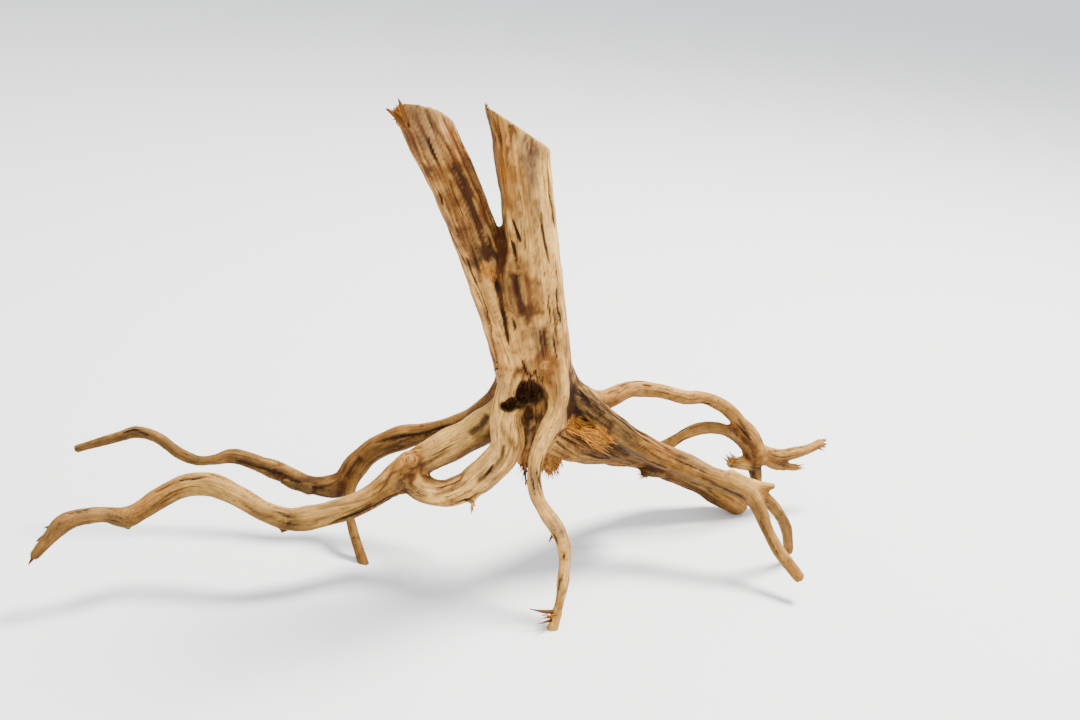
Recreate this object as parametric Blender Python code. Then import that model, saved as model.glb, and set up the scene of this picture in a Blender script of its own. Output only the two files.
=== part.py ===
"""A spiderwood root, modelled as the one piece of wood that it grew as.

Two sawn stems rise from a short trunk. Roots loop out of its foot to the left, the front and the right,
and the wood stands on three of them: a thin leg at the back left, the front root and a bulge at the
back right. Each limb is a fluted tube along a smooth curve, and all the limbs are grown together into
one skin. Then come the hollow, the saw cuts, the splinters and the flat feet.
"""

import math

import bpy
import numpy as np
from mathutils import Matrix, Vector

CM = 0.01

# The skin that the limbs are grown together into, in metres.
SKIN_CELL = 0.0019
SKIN_TRIANGLES = 11300
EASE_FACTOR = 0.5
EASE_ROUNDS = 1
WELD_GAP = 0.00006

# One limb: the step between rings in metres, and the relief as shares of its radius.
RING_STEP = 0.0025
RING_POINTS = 32
RING_HINT = (0.31, 0.95, 0.05)
FLUTE_LOBES = (2, 3, 4, 5, 7)
FLUTE_DEPTH = 0.055
FLUTE_SPIN = 18
SWELL_LENGTHS = (0.021, 0.034, 0.055)
SWELL_DEPTH = 0.04
FURROW_FADE = 8
# The share of that relief that the straight, even limbs have.
CALM = {"stem_left": 0.3, "stem_right": 0.3, "fork_bulge": 0.5}
DOME = ((0.8, 0.25), (0.45, 0.45))
DOME_RISE = 0.5
SEED = 20

# Each limb's centre line, as hand-chosen points: x, y, z and radius in centimetres.
LIMBS = {
    "stem_left": (
        (1.4, -0.4, 11.4, 1.6),
        (0.8, -0.4, 14.4, 1.75),
        (-0.3, -0.6, 17.6, 1.65),
        (-1.6, -0.6, 20.7, 1.55),
        (-2.95, -0.5, 23.85, 1.48),
        (-4.55, -0.4, 27.3, 1.5),
        (-6.1, -0.4, 30.1, 1.55),
        (-7.7, -0.3, 33.6, 1.6),
    ),
    "stem_right": (
        (2.7, -0.2, 11.0, 1.7),
        (2.3, -0.5, 14.4, 1.85),
        (1.45, -1.0, 18.4, 1.85),
        (0.65, -1.3, 22.3, 1.8),
        (0.0, -1.3, 26.1, 1.7),
        (-0.65, -1.1, 29.6, 1.75),
        (-1.3, -0.9, 32.8, 1.85),
    ),
    "foot_core": (
        (1.6, -0.5, 13.0, 1.4),
        (1.5, -0.7, 9.6, 0.95),
    ),
    "left_back": (
        (0.7, 1.0, 15.6, 0.9),
        (0.3, 1.9, 12.6, 0.8),
        (-1.0, 3.2, 10.2, 0.65),
        (-3.2, 4.4, 8.6, 0.7),
        (-5.5, 5.4, 7.7, 0.82),
        (-7.4, 6.0, 6.7, 0.84),
        (-8.7, 6.2, 5.4, 0.86),
        (-9.9, 6.2, 3.9, 0.85),
        (-11.8, 6.6, 3.8, 0.65),
        (-13.4, 7.2, 4.4, 0.65),
        (-15.9, 8.2, 5.2, 0.55),
        (-17.1, 8.5, 5.45, 0.55),
        (-18.2, 8.75, 5.15, 0.4),
        (-19.4, 9.0, 5.0, 0.38),
        (-20.7, 9.4, 5.5, 0.4),
        (-22.0, 9.8, 6.5, 0.42),
        (-23.4, 10.1, 6.9, 0.42),
        (-24.7, 10.3, 6.5, 0.38),
        (-27.5, 10.6, 5.6, 0.3),
    ),
    "left_back_leg": (
        (-8.7, 6.2, 5.3, 0.65),
        (-9.4, 5.0, 3.5, 0.44),
        (-9.4, 3.4, 2.0, 0.37),
        (-8.75, 1.7, -0.3, 0.4),
    ),
    "left_back_stub": (
        (-11.9, 6.4, 3.7, 0.62),
        (-13.0, 6.6, 3.95, 0.5),
        (-13.7, 6.7, 4.2, 0.36),
    ),
    "left_mid": (
        (0.8, -0.2, 12.9, 1.15),
        (-0.4, 0.0, 11.4, 1.15),
        (-2.0, 0.5, 10.0, 1.15),
        (-3.7, 1.0, 8.8, 1.1),
        (-5.2, 1.3, 7.8, 1.05),
        (-6.2, 1.4, 7.1, 1.05),
    ),
    "left_loop": (
        (0.3, -0.8, 16.2, 1.1),
        (-0.2, -1.5, 13.9, 1.0),
        (-0.6, -2.0, 12.0, 1.0),
        (-0.4, -2.2, 10.2, 1.15),
        (-1.3, -2.0, 8.6, 1.05),
        (-2.5, -1.3, 7.0, 1.05),
        (-3.9, -0.5, 6.1, 0.95),
        (-5.2, 0.4, 6.1, 0.95),
        (-6.2, 1.1, 6.8, 1.05),
    ),
    "knob": (
        (-6.9, 1.3, 5.9, 0.85),
        (-6.4, 1.2, 7.0, 1.15),
        (-5.9, 1.1, 8.1, 0.75),
    ),
    "left_front": (
        (-6.4, 1.3, 6.8, 1.25),
        (-7.5, 1.0, 6.2, 0.92),
        (-8.9, 0.6, 5.5, 0.8),
        (-10.5, 0.1, 5.1, 0.82),
        (-12.3, -0.3, 4.9, 0.8),
        (-14.1, -0.5, 4.9, 0.76),
        (-15.8, -0.3, 5.5, 0.7),
        (-17.4, 0.5, 6.3, 0.68),
        (-19.0, 1.1, 6.9, 0.74),
        (-20.6, 1.4, 6.8, 0.77),
        (-22.1, 1.2, 6.2, 0.68),
        (-23.3, 0.8, 5.6, 0.63),
        (-24.3, 0.3, 5.4, 0.66),
        (-25.5, -0.2, 5.9, 0.53),
        (-26.8, -0.4, 6.0, 0.53),
        (-28.0, -0.8, 5.8, 0.56),
        (-28.9, -1.2, 5.0, 0.43),
        (-29.8, -1.45, 4.0, 0.32),
    ),
    "front": (
        (2.2, -1.6, 16.9, 0.9),
        (2.7, -2.2, 14.3, 0.8),
        (2.6, -2.7, 12.8, 0.65),
        (1.9, -3.1, 11.4, 0.6),
        (1.3, -3.5, 10.2, 0.53),
        (1.0, -4.0, 9.0, 0.5),
        (1.1, -4.6, 7.7, 0.48),
        (1.7, -5.2, 6.6, 0.5),
        (2.4, -5.8, 5.6, 0.5),
        (2.7, -6.4, 4.6, 0.48),
        (2.6, -7.0, 3.6, 0.43),
        (2.4, -7.5, 2.5, 0.38),
        (2.15, -7.9, 1.4, 0.32),
        (1.6, -8.5, -0.3, 0.42),
    ),
    "right_front": (
        (2.7, -0.2, 15.9, 1.1),
        (3.9, 0.0, 13.4, 1.1),
        (5.5, 0.1, 12.0, 1.0),
        (7.7, 0.1, 10.2, 0.95),
        (9.8, 0.1, 8.8, 0.93),
        (11.5, -0.2, 7.9, 0.9),
        (13.3, -0.9, 7.3, 0.87),
        (14.6, -1.8, 6.9, 0.8),
        (15.9, -2.6, 6.6, 0.73),
        (17.1, -3.2, 6.1, 0.68),
        (17.7, -4.0, 5.2, 0.55),
        (18.05, -4.9, 4.1, 0.45),
        (18.55, -5.9, 3.0, 0.45),
        (19.05, -6.9, 2.3, 0.42),
        (19.5, -7.8, 1.7, 0.4),
    ),
    "right_stub": (
        (15.8, -2.5, 7.0, 0.63),
        (17.3, -3.0, 6.6, 0.45),
        (19.0, -3.3, 6.5, 0.24),
    ),
    "right_leg": (
        (16.7, -3.1, 6.3, 0.56),
        (18.2, -3.2, 5.8, 0.48),
        (19.6, -3.0, 4.5, 0.43),
        (20.7, -2.8, 3.0, 0.4),
        (21.2, -2.7, 1.5, 0.37),
        (21.4, -2.6, 0.7, 0.32),
    ),
    "right_web": (
        (3.2, 0.2, 11.6, 1.3),
        (5.3, 1.0, 10.1, 1.2),
        (7.9, 1.6, 8.6, 1.1),
        (11.0, 2.4, 6.9, 0.9),
    ),
    "right_low": (
        (3.0, 0.2, 10.0, 1.4),
        (5.5, 1.5, 8.3, 1.3),
        (8.8, 3.6, 6.7, 1.15),
        (12.4, 5.4, 5.2, 1.05),
        (15.4, 6.0, 3.9, 1.2),
        (18.1, 5.8, 2.6, 1.2),
        (20.0, 5.4, 1.45, 1.15),
        (21.2, 5.3, 0.6, 0.95),
    ),
    "right_low_stub": (
        (15.3, 5.7, 3.7, 0.65),
        (13.8, 5.1, 3.9, 0.45),
        (12.5, 4.6, 4.3, 0.35),
    ),
    "right_back": (
        (3.0, 0.6, 13.9, 1.0),
        (5.7, 1.8, 11.9, 0.82),
        (8.0, 3.2, 10.8, 0.72),
        (10.6, 4.5, 11.0, 0.6),
        (13.1, 5.0, 10.6, 0.55),
        (15.2, 5.0, 10.0, 0.52),
        (16.9, 4.9, 9.9, 0.5),
        (18.6, 4.8, 9.1, 0.54),
        (20.1, 4.9, 7.7, 0.57),
        (21.4, 5.0, 6.3, 0.6),
        (22.4, 5.1, 4.7, 0.6),
    ),
    "right_back_tip": (
        (21.8, 5.0, 5.4, 0.6),
        (23.7, 5.2, 4.7, 0.52),
        (25.1, 5.4, 4.7, 0.45),
        (26.6, 5.6, 4.9, 0.4),
        (27.8, 5.8, 5.3, 0.36),
    ),
    "right_back_stub": (
        (22.2, 5.0, 4.8, 0.5),
        (23.8, 5.2, 3.9, 0.38),
        (25.8, 5.5, 3.4, 0.28),
    ),
    "right_arch": (
        (12.2, 5.0, 5.5, 0.75),
        (13.9, 4.8, 6.1, 0.5),
        (15.6, 4.8, 7.1, 0.47),
        (17.0, 4.8, 7.5, 0.49),
        (18.6, 4.9, 7.3, 0.49),
        (20.1, 5.0, 6.5, 0.5),
        (21.4, 5.2, 5.2, 0.55),
        (22.1, 5.4, 3.6, 0.5),
        (22.5, 5.5, 2.2, 0.46),
        (22.5, 5.5, 1.0, 0.4),
    ),
    "arch_stub": (
        (22.0, 5.3, 3.9, 0.5),
        (21.1, 5.4, 4.1, 0.52),
        (19.9, 5.5, 4.15, 0.42),
    ),
    "fork_bulge": (
        (-0.3, -1.7, 24.2, 0.5),
        (-0.55, -1.9, 22.5, 1.0),
        (-0.45, -1.9, 21.0, 1.15),
        (0.0, -1.8, 19.5, 1.0),
        (0.5, -1.7, 18.2, 0.7),
    ),
}

# Long furrows pressed into the limbs: half width and depth in centimetres, then the line's points.
FURROWS = (
    (0.45, 0.16, (-5.3, -1.9, 29.3), (-4.7, -1.9, 28.3), (-3.4, -1.9, 25.3), (-2.2, -2.0, 22.7)),
    (0.22, 0.20, (-2.0, -2.1, 21.8), (-1.7, -2.2, 20.6), (-1.2, -2.1, 19.0), (-0.8, -2.1, 17.2)),
    (0.30, 0.14, (-1.1, -2.8, 22.4), (-0.9, -3.0, 21.5), (-0.5, -2.9, 20.3), (-0.1, -2.7, 19.2)),
    (0.16, 0.12, (-1.1, -2.3, 24.2), (-1.0, -2.6, 23.3), (-0.7, -2.9, 22.3)),
    (0.14, 0.10, (-1.3, -2.4, 25.5), (-1.0, -2.6, 24.8), (-0.7, -2.7, 24.1)),
    (0.25, 0.10, (-12.0, -0.9, 4.5), (-10.3, -0.6, 4.9), (-8.6, -0.1, 5.3), (-7.0, 0.2, 5.9)),
    (0.22, 0.08, (-7.6, 5.5, 7.3), (-6.0, 4.8, 8.0), (-4.4, 4.2, 8.5), (-2.8, 3.6, 9.3)),
    (0.40, 0.12, (-1.3, -0.5, 11.9), (-1.8, -0.7, 11.0), (-2.6, -0.4, 10.1)),
    (0.22, 0.09, (-0.9, -3.2, 11.1), (-1.0, -3.2, 9.8), (-1.6, -3.1, 8.8), (-2.6, -2.6, 7.7)),
    (0.22, 0.10, (6.5, -0.3, 12.2), (8.6, 0.0, 10.7), (11.0, -0.2, 9.1), (12.6, -1.1, 8.2)),
    (0.25, 0.12, (13.6, -1.9, 7.1), (15.2, -3.0, 6.5), (16.8, -3.8, 5.7)),
    (0.25, 0.12, (14.9, 4.5, 4.6), (16.8, 4.6, 3.6), (18.8, 4.4, 2.4)),
    (0.20, 0.08, (-17.3, 8.1, 5.4), (-15.6, 7.5, 5.0), (-14.1, 6.8, 4.7), (-12.3, 6.0, 4.0)),
)
# Knots and burrs raised on them: half size and height in centimetres, then the middle.
KNOTS = (
    (0.50, 0.07, (0.3, -2.5, 29.8)),
    (0.40, 0.08, (2.2, -2.6, 19.1)),
    (0.40, 0.08, (-6.7, 0.1, 6.6)),
    (0.55, 0.12, (-6.1, 0.5, 8.2)),
    (0.40, 0.12, (2.1, -6.1, 6.0)),
    (0.45, 0.08, (-14.8, -1.1, 5.1)),
    (0.40, 0.08, (-24.3, -0.2, 5.8)),
    (0.45, 0.07, (9.6, -0.1, 8.0)),
    (0.40, 0.07, (12.3, -1.4, 7.3)),
    (0.40, 0.07, (1.6, -2.5, 15.9)),
    (0.40, 0.06, (17.6, -4.4, 5.5)),
)

# Chunky torn pieces, grown into the skin: foot x, y, z, tip x, y, z and foot width, in centimetres.
CHIPS = (
    (-2.4, -1.7, 7.2, -2.5, -2.3, 5.3, 1.6),
    (-14.4, -0.6, 4.8, -14.9, -1.0, 3.9, 1.3),
    (-24.3, 0.0, 5.3, -24.1, -0.3, 4.4, 1.0),
    (6.7, -0.2, 9.7, 4.4, -1.3, 11.1, 0.6),
    (7.0, -0.1, 9.4, 4.2, -1.4, 10.7, 0.7),
    (7.3, 0.0, 9.0, 4.5, -1.3, 10.2, 0.7),
    (7.0, -0.1, 8.8, 4.9, -1.2, 9.8, 0.6),
    (5.0, -0.8, 10.6, 7.7, -0.6, 9.6, 0.6),
    (5.2, -0.8, 10.1, 8.1, -0.4, 9.0, 0.6),
    (1.0, -1.1, 9.8, 1.5, -1.2, 6.9, 1.9),
    (0.7, -1.3, 9.9, 0.7, -1.4, 7.7, 1.2),
    (1.5, -0.6, 9.8, 1.9, -0.9, 7.7, 1.3),
    (2.9, -0.4, 9.3, 3.3, -0.8, 6.8, 2.8),
    (3.3, -0.2, 9.0, 3.8, -0.6, 7.1, 2.4),
    (3.5, -0.2, 8.9, 4.3, -0.5, 7.6, 1.9),
    (2.5, -0.4, 9.4, 2.8, -0.9, 7.2, 1.6),
    (20.9, 5.4, 4.1, 19.3, 5.6, 4.2, 0.9),
    (13.7, 5.0, 4.1, 12.3, 4.5, 4.3, 0.9),
)

# Thin slivers, set into the finished skin clear of each other: the same seven numbers each.
SPLINTERS = (
    (-29.4, -1.3, 4.5, -30.1, -1.7, 3.55, 0.5),
    (-29.0, -1.1, 5.2, -29.75, -0.8, 4.75, 0.45),
    (-28.3, -0.8, 5.8, -29.3, -0.4, 5.4, 0.45),
    (2.0, -8.1, 1.0, 0.0, -8.4, 1.3, 0.4),
    (1.8, -8.3, 0.55, 0.4, -8.9, 0.8, 0.3),
    (2.3, -5.7, 5.6, 1.6, -6.1, 5.1, 0.4),
    (27.4, 5.8, 5.3, 28.2, 5.9, 5.5, 0.3),
    (27.4, 5.8, 4.9, 28.2, 5.8, 4.7, 0.3),
    (25.4, 5.5, 3.6, 26.5, 5.5, 3.6, 0.25),
    (25.3, 5.5, 3.25, 26.4, 5.6, 3.05, 0.25),
    (20.4, 5.5, 4.35, 19.9, 5.6, 5.0, 0.35),
    (21.2, 5.4, 4.45, 20.7, 5.5, 5.15, 0.35),
    (13.1, 4.8, 4.4, 12.1, 4.5, 4.7, 0.35),
    (13.1, 4.8, 3.95, 12.2, 4.6, 3.7, 0.35),
    (-7.9, -0.9, 31.0, -9.1, -1.1, 31.9, 1.1),
    (-7.8, -1.2, 31.2, -8.45, -1.35, 32.5, 1.0),
    (-13.6, 7.0, 4.2, -14.7, 7.2, 4.4, 0.35),
)

# The ragged hollow under the fork: each bite's centre and half sizes in centimetres, and its tilt
# in degrees down to the right.
HOLLOW_BITES = {
    "hollow": ((0.85, -2.5, 13.7), (1.0, 1.6, 0.95), 30),
    "hollow_wedge": ((-0.2, -2.5, 13.3), (0.95, 0.9, 0.4), -12),
    "hollow_slot": ((1.05, -2.6, 12.4), (0.42, 1.3, 1.1), 0),
}
LUMP_ROWS = 14
LUMP_COLUMNS = 20
LUMP_ROUGHNESS = 0.2

# The saw cuts: a point in the middle of each, and the way it faces.
LEFT_CUT_POINT = (-7.1, -0.6, 31.5)
LEFT_CUT_NORMAL = (0.17, 0.55, 0.95)
RIGHT_CUT_POINT = (-1.0, -0.9, 30.9)
RIGHT_CUT_NORMAL = (0.52, 0.05, 0.86)
CUTTER_SIZE = 6.4
FLOOR_SPREAD = (16, 16, 1)
SPIKE_FLATNESS = 0.6
SPIKE_HINT = (0.2, 1, 0.1)

WOOD_COLOUR = (0.42, 0.25, 0.11, 1.0)
WOOD_ROUGHNESS = 0.8


def clear_scene():
    for obj in list(bpy.data.objects):
        bpy.data.objects.remove(obj)


def smooth_curve(points, step):
    """Rows read at an even step from the smooth curve that runs through the points."""
    rows = np.array(points, float) * CM
    rows = np.vstack([2 * rows[0] - rows[1], rows, 2 * rows[-1] - rows[-2]])
    curve = []
    for before, start, end, after in zip(rows[:-3], rows[1:-2], rows[2:-1], rows[3:]):
        count = max(2, int(np.linalg.norm(end[:3] - start[:3]) / step))
        for t in np.arange(count) / count:
            bend = 2 * before - 5 * start + 4 * end - after
            twist = 3 * start - before - 3 * end + after
            curve.append(0.5 * (2 * start + (end - before) * t + bend * t * t + twist * t ** 3))
    curve.append(rows[-2])
    return np.array(curve)


def side_vectors(places):
    """Two directions across the curve at each place, carried along it without spin."""
    ahead = np.gradient(places, axis=0)
    ahead /= np.linalg.norm(ahead, axis=1)[:, None]
    first = np.cross(ahead[0], RING_HINT)
    sides = []
    for direction in ahead:
        first = first - direction * first.dot(direction)
        first /= np.linalg.norm(first)
        sides.append((first, np.cross(direction, first)))
    return ahead, np.array(sides)


def flutes(draw, lengths, angles):
    """How far the skin stands off a round tube, as a share of the radius."""
    relief = np.zeros((len(lengths), len(angles)))
    for lobes in FLUTE_LOBES:
        phase = draw.uniform(0, 2 * math.pi)
        spin = draw.uniform(-FLUTE_SPIN, FLUTE_SPIN)
        wave = np.cos(lobes * (angles[None, :] + phase) + spin * lengths[:, None])
        relief += FLUTE_DEPTH * draw.uniform(0.5, 1.1) * wave * (3 / (lobes + 2))
    for length in SWELL_LENGTHS:
        height = SWELL_DEPTH * draw.uniform(0.3, 1)
        relief += height * np.sin(2 * math.pi * lengths[:, None] / length + draw.uniform(0, 6))
    return relief


def line_distance(corners, path):
    """Distance from each corner to a path of points, and the share of the path passed there."""
    path = np.array(path, float) * CM
    steps = np.linalg.norm(np.diff(path, axis=0), axis=1)
    passed = 0.0
    best, share = np.full(len(corners), np.inf), np.zeros(len(corners))
    for start, end, step in zip(path[:-1], path[1:], steps):
        t = np.clip(((corners - start) @ (end - start)) / step ** 2, 0, 1)
        distance = np.linalg.norm(corners - start - t[:, None] * (end - start), axis=1)
        nearer = distance < best
        best[nearer] = distance[nearer]
        share[nearer] = (passed + t[nearer] * step) / steps.sum()
        passed += step
    return best, share


def scars(surface):
    """How far the furrows and knots move each point of the surface outward, in metres."""
    corners = surface.reshape(-1, 3)
    lift = np.zeros(len(corners))
    for half_width, depth, *path in FURROWS:
        distance, share = line_distance(corners, path)
        fade = np.clip(FURROW_FADE * np.minimum(share, 1 - share), 0, 1)
        lift -= depth * CM * fade * np.exp(-(distance / (half_width * CM)) ** 2)
    for half_size, height, middle in KNOTS:
        distance = np.linalg.norm(corners - np.array(middle) * CM, axis=1)
        lift += height * CM * np.exp(-(distance / (half_size * CM)) ** 2)
    return lift.reshape(surface.shape[:2])


def limb(points, draw, share):
    """Corners and faces of one fluted limb with rounded ends, and its share of the relief."""
    curve = smooth_curve(points, RING_STEP)
    places, radii = curve[:, :3], curve[:, 3]
    ahead, sides = side_vectors(places)
    lengths = np.append(0, np.cumsum(np.linalg.norm(np.diff(places, axis=0), axis=1)))
    angles = np.linspace(0, 2 * math.pi, RING_POINTS, endpoint=False)
    reach = radii[:, None] * (1 + share * flutes(draw, lengths, angles))
    turn = np.stack([np.cos(angles), np.sin(angles)], axis=1)
    outward = turn @ sides
    surface = places[:, None] + reach[:, :, None] * outward
    rings = list(surface + scars(surface)[:, :, None] * outward)
    # Each end closes over a shallow dome.
    first, last = rings[0], rings[-1]
    for share, rise in DOME:
        rings.insert(0, places[0] + share * (first - places[0]) - ahead[0] * radii[0] * rise)
        rings.append(places[-1] + share * (last - places[-1]) + ahead[-1] * radii[-1] * rise)
    start_pole = places[0] - ahead[0] * radii[0] * DOME_RISE
    end_pole = places[-1] + ahead[-1] * radii[-1] * DOME_RISE
    return np.vstack(rings + [start_pole, end_pole]), tube_faces(len(rings))


def tube_faces(ring_count):
    """The sides of a stack of rings, and the fans that close it onto the two poles after them."""
    faces = []
    for ring in range(ring_count - 1):
        here, there = ring * RING_POINTS, (ring + 1) * RING_POINTS
        for point in range(RING_POINTS):
            following = (point + 1) % RING_POINTS
            faces.append((here + point, here + following, there + following, there + point))
    last = (ring_count - 1) * RING_POINTS
    start_pole = ring_count * RING_POINTS
    for point in range(RING_POINTS):
        following = (point + 1) % RING_POINTS
        faces.append((start_pole, following, point))
        faces.append((start_pole + 1, last + point, last + following))
    return faces


def mesh_object(name, corners, faces):
    mesh = bpy.data.meshes.new(name)
    mesh.from_pydata([tuple(corner) for corner in corners], [], faces)
    mesh.update()
    obj = bpy.data.objects.new(name, mesh)
    bpy.context.collection.objects.link(obj)
    return obj


def as_cutter(obj, frame):
    """Marks a helper that a Boolean reads, so that it is neither seen nor built."""
    obj.hide_render = True
    obj.display_type = "WIRE"
    obj.parent = frame
    return obj


def lump(name, centre, radii, tilt, draw):
    """A rough egg, with a ragged skin."""
    corners, faces = [], []
    for row in range(1, LUMP_ROWS):
        lift = math.pi * row / LUMP_ROWS
        for column in range(LUMP_COLUMNS):
            turn = 2 * math.pi * column / LUMP_COLUMNS
            rough = 1 + draw.uniform(-LUMP_ROUGHNESS, LUMP_ROUGHNESS)
            level = rough * math.sin(lift)
            corners.append((level * math.cos(turn), level * math.sin(turn), rough * math.cos(lift)))
    top, bottom = len(corners), len(corners) + 1
    corners += [(0, 0, 1), (0, 0, -1)]
    last = (LUMP_ROWS - 2) * LUMP_COLUMNS
    for column in range(LUMP_COLUMNS):
        following = (column + 1) % LUMP_COLUMNS
        faces.append((top, column, following))
        faces.append((bottom, last + following, last + column))
        for here in range(0, last, LUMP_COLUMNS):
            there = here + LUMP_COLUMNS
            faces.append((here + column, there + column, there + following, here + following))
    lean = Matrix.Rotation(math.radians(tilt), 3, "Y")
    half_size = Matrix.Diagonal(Vector(radii) * CM)
    placed = [Vector(centre) * CM + lean @ half_size @ Vector(corner) for corner in corners]
    return mesh_object(name, placed, faces)


def slab(name, point, normal):
    """A square block whose near face passes through the point, square to the normal."""
    half = CUTTER_SIZE * CM / 2
    corners = [(x, y, z) for x in (-half, half) for y in (-half, half) for z in (0, 2 * half)]
    faces = [(0, 1, 3, 2), (4, 6, 7, 5), (0, 4, 5, 1), (2, 3, 7, 6), (0, 2, 6, 4), (1, 5, 7, 3)]
    turn = Vector((0, 0, 1)).rotation_difference(Vector(normal)).to_matrix()
    placed = [turn @ Vector(corner) + Vector(point) * CM for corner in corners]
    return mesh_object(name, placed, faces)


def spikes(rows):
    """Each torn piece as a flattened four-sided spike, its foot sunk in the wood."""
    corners, faces = [], []
    for x, y, z, tip_x, tip_y, tip_z, width in rows:
        foot, tip = Vector((x, y, z)) * CM, Vector((tip_x, tip_y, tip_z)) * CM
        way = (tip - foot).normalized()
        flat = way.cross(Vector(SPIKE_HINT)).normalized() * width * CM / 2
        thick = way.cross(flat).normalized() * width * CM * SPIKE_FLATNESS / 2
        first = len(corners)
        corners += [foot + flat, foot + thick, foot - flat, foot - thick, tip]
        faces.append((first + 3, first + 2, first + 1, first))
        for side in range(4):
            faces.append((first + side, first + (side + 1) % 4, first + 4))
    return np.array([corner[:] for corner in corners]), faces


def add_boolean(obj, cutter, operation):
    """MANIFOLD, because EXACT leaves open edges on a skin as uneven as this one."""
    boolean = obj.modifiers.new(cutter.name, "BOOLEAN")
    boolean.object = cutter
    boolean.operation = operation
    boolean.solver = "MANIFOLD"


def add_skin(obj, name):
    skin = obj.modifiers.new(name, "REMESH")
    skin.mode = "VOXEL"
    skin.voxel_size = SKIN_CELL
    skin.use_smooth_shade = True


def face_count(obj):
    graph = bpy.context.evaluated_depsgraph_get()
    mesh = obj.evaluated_get(graph).to_mesh()
    mesh.calc_loop_triangles()
    return len(mesh.loop_triangles)


def wood():
    material = bpy.data.materials.new("weathered_wood")
    material.use_nodes = True
    shader = material.node_tree.nodes["Principled BSDF"]
    shader.inputs["Base Color"].default_value = WOOD_COLOUR
    shader.inputs["Roughness"].default_value = WOOD_ROUGHNESS
    shader.inputs["Metallic"].default_value = 0.0
    return material


def all_limbs():
    """The limbs and the chunky chips, still overlapping, as one set of corners and faces."""
    pieces = [
        limb(points, np.random.default_rng(SEED + number), CALM.get(name, 1.0))
        for number, (name, points) in enumerate(LIMBS.items())
    ]
    pieces.append(spikes(CHIPS))
    corners, faces = np.empty((0, 3)), []
    for piece_corners, piece_faces in pieces:
        faces += [tuple(index + len(corners) for index in face) for face in piece_faces]
        corners = np.vstack([corners, piece_corners])
    return corners, faces


def grow(root, frame):
    """One skin over all the limbs, with the hollow in it."""
    draw = np.random.default_rng(SEED)
    add_skin(root, "grow_together")
    for name, (centre, radii, tilt) in HOLLOW_BITES.items():
        bite = lump(name, centre, radii, tilt, draw)
        add_boolean(root, as_cutter(bite, frame), "DIFFERENCE")
    add_skin(root, "heal")
    ease = root.modifiers.new("ease", "SMOOTH")
    ease.factor = EASE_FACTOR
    ease.iterations = EASE_ROUNDS
    bpy.context.view_layer.update()
    thin_out = root.modifiers.new("thin_out", "DECIMATE")
    thin_out.ratio = SKIN_TRIANGLES / face_count(root)


def finish(root, frame):
    """The flat faces and the thin slivers, which come after the thinning so that it can't blunt them."""
    floor = slab("floor_plane", (0, 0, 0), (0, 0, -1))
    floor.scale = FLOOR_SPREAD
    for cutter in (
        slab("left_saw_cut", LEFT_CUT_POINT, LEFT_CUT_NORMAL),
        slab("right_saw_cut", RIGHT_CUT_POINT, RIGHT_CUT_NORMAL),
        floor,
    ):
        add_boolean(root, as_cutter(cutter, frame), "DIFFERENCE")
    add_boolean(root, as_cutter(mesh_object("splinters", *spikes(SPLINTERS)), frame), "UNION")
    weld = root.modifiers.new("weld", "WELD")
    weld.merge_threshold = WELD_GAP
    bpy.context.view_layer.update()


def centre_over_origin(root, frame):
    """Moves the frame so that the middle of the wood's footprint is at the origin."""
    graph = bpy.context.evaluated_depsgraph_get()
    box = np.array([corner[:] for corner in root.evaluated_get(graph).bound_box])
    middle = (box.min(axis=0) + box.max(axis=0)) / 2
    frame.location = (-middle[0], -middle[1], 0)


def build():
    clear_scene()
    frame = bpy.data.objects.new("stand_point", None)
    bpy.context.collection.objects.link(frame)
    root = mesh_object("spiderwood_root", *all_limbs())
    root.parent = frame
    root.data.materials.append(wood())
    grow(root, frame)
    finish(root, frame)
    centre_over_origin(root, frame)


build()
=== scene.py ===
"""The looks of the spiderwood root: a detailed skin over the part's own limbs, and torn fibres."""

import math

import bpy
import numpy as np
from mathutils import Matrix, Vector


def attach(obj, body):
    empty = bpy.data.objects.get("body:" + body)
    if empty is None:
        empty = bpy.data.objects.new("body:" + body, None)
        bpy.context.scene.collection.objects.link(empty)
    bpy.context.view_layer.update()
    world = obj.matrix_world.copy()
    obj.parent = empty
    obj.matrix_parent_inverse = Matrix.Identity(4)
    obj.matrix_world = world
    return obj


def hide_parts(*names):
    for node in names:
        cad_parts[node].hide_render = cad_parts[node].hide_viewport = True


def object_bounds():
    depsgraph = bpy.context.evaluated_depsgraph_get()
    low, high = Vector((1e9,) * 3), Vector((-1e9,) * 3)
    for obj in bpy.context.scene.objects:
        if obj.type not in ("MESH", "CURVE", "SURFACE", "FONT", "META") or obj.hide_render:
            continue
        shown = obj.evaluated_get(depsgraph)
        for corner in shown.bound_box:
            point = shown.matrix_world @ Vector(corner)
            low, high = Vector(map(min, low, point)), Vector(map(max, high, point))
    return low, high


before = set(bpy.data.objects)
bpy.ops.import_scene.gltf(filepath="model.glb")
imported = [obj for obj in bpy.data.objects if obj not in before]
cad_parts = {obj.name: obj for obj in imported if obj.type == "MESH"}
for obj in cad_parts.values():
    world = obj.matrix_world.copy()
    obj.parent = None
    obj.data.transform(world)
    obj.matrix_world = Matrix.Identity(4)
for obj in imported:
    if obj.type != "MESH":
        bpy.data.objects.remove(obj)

CAD_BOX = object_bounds()
CM = 0.01
MM = 0.001
# Where the limbs' own origin lies in the part's frame, in metres.
STAND = np.array((0.0095, -0.009641, 0.0))

SKIN_CELL = 0.00142
RING_STEP = 0.0012
RING_POINTS = 48
PART_RING_STEP = 0.0025
RING_HINT = (0.31, 0.95, 0.05)
FLUTE_LOBES = (2, 3, 4, 5, 7)
FLUTE_DEPTH = 0.055
FLUTE_SPIN = 18
SWELL_LENGTHS = (0.021, 0.034, 0.055)
SWELL_DEPTH = 0.04
FURROW_FADE = 8
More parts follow.
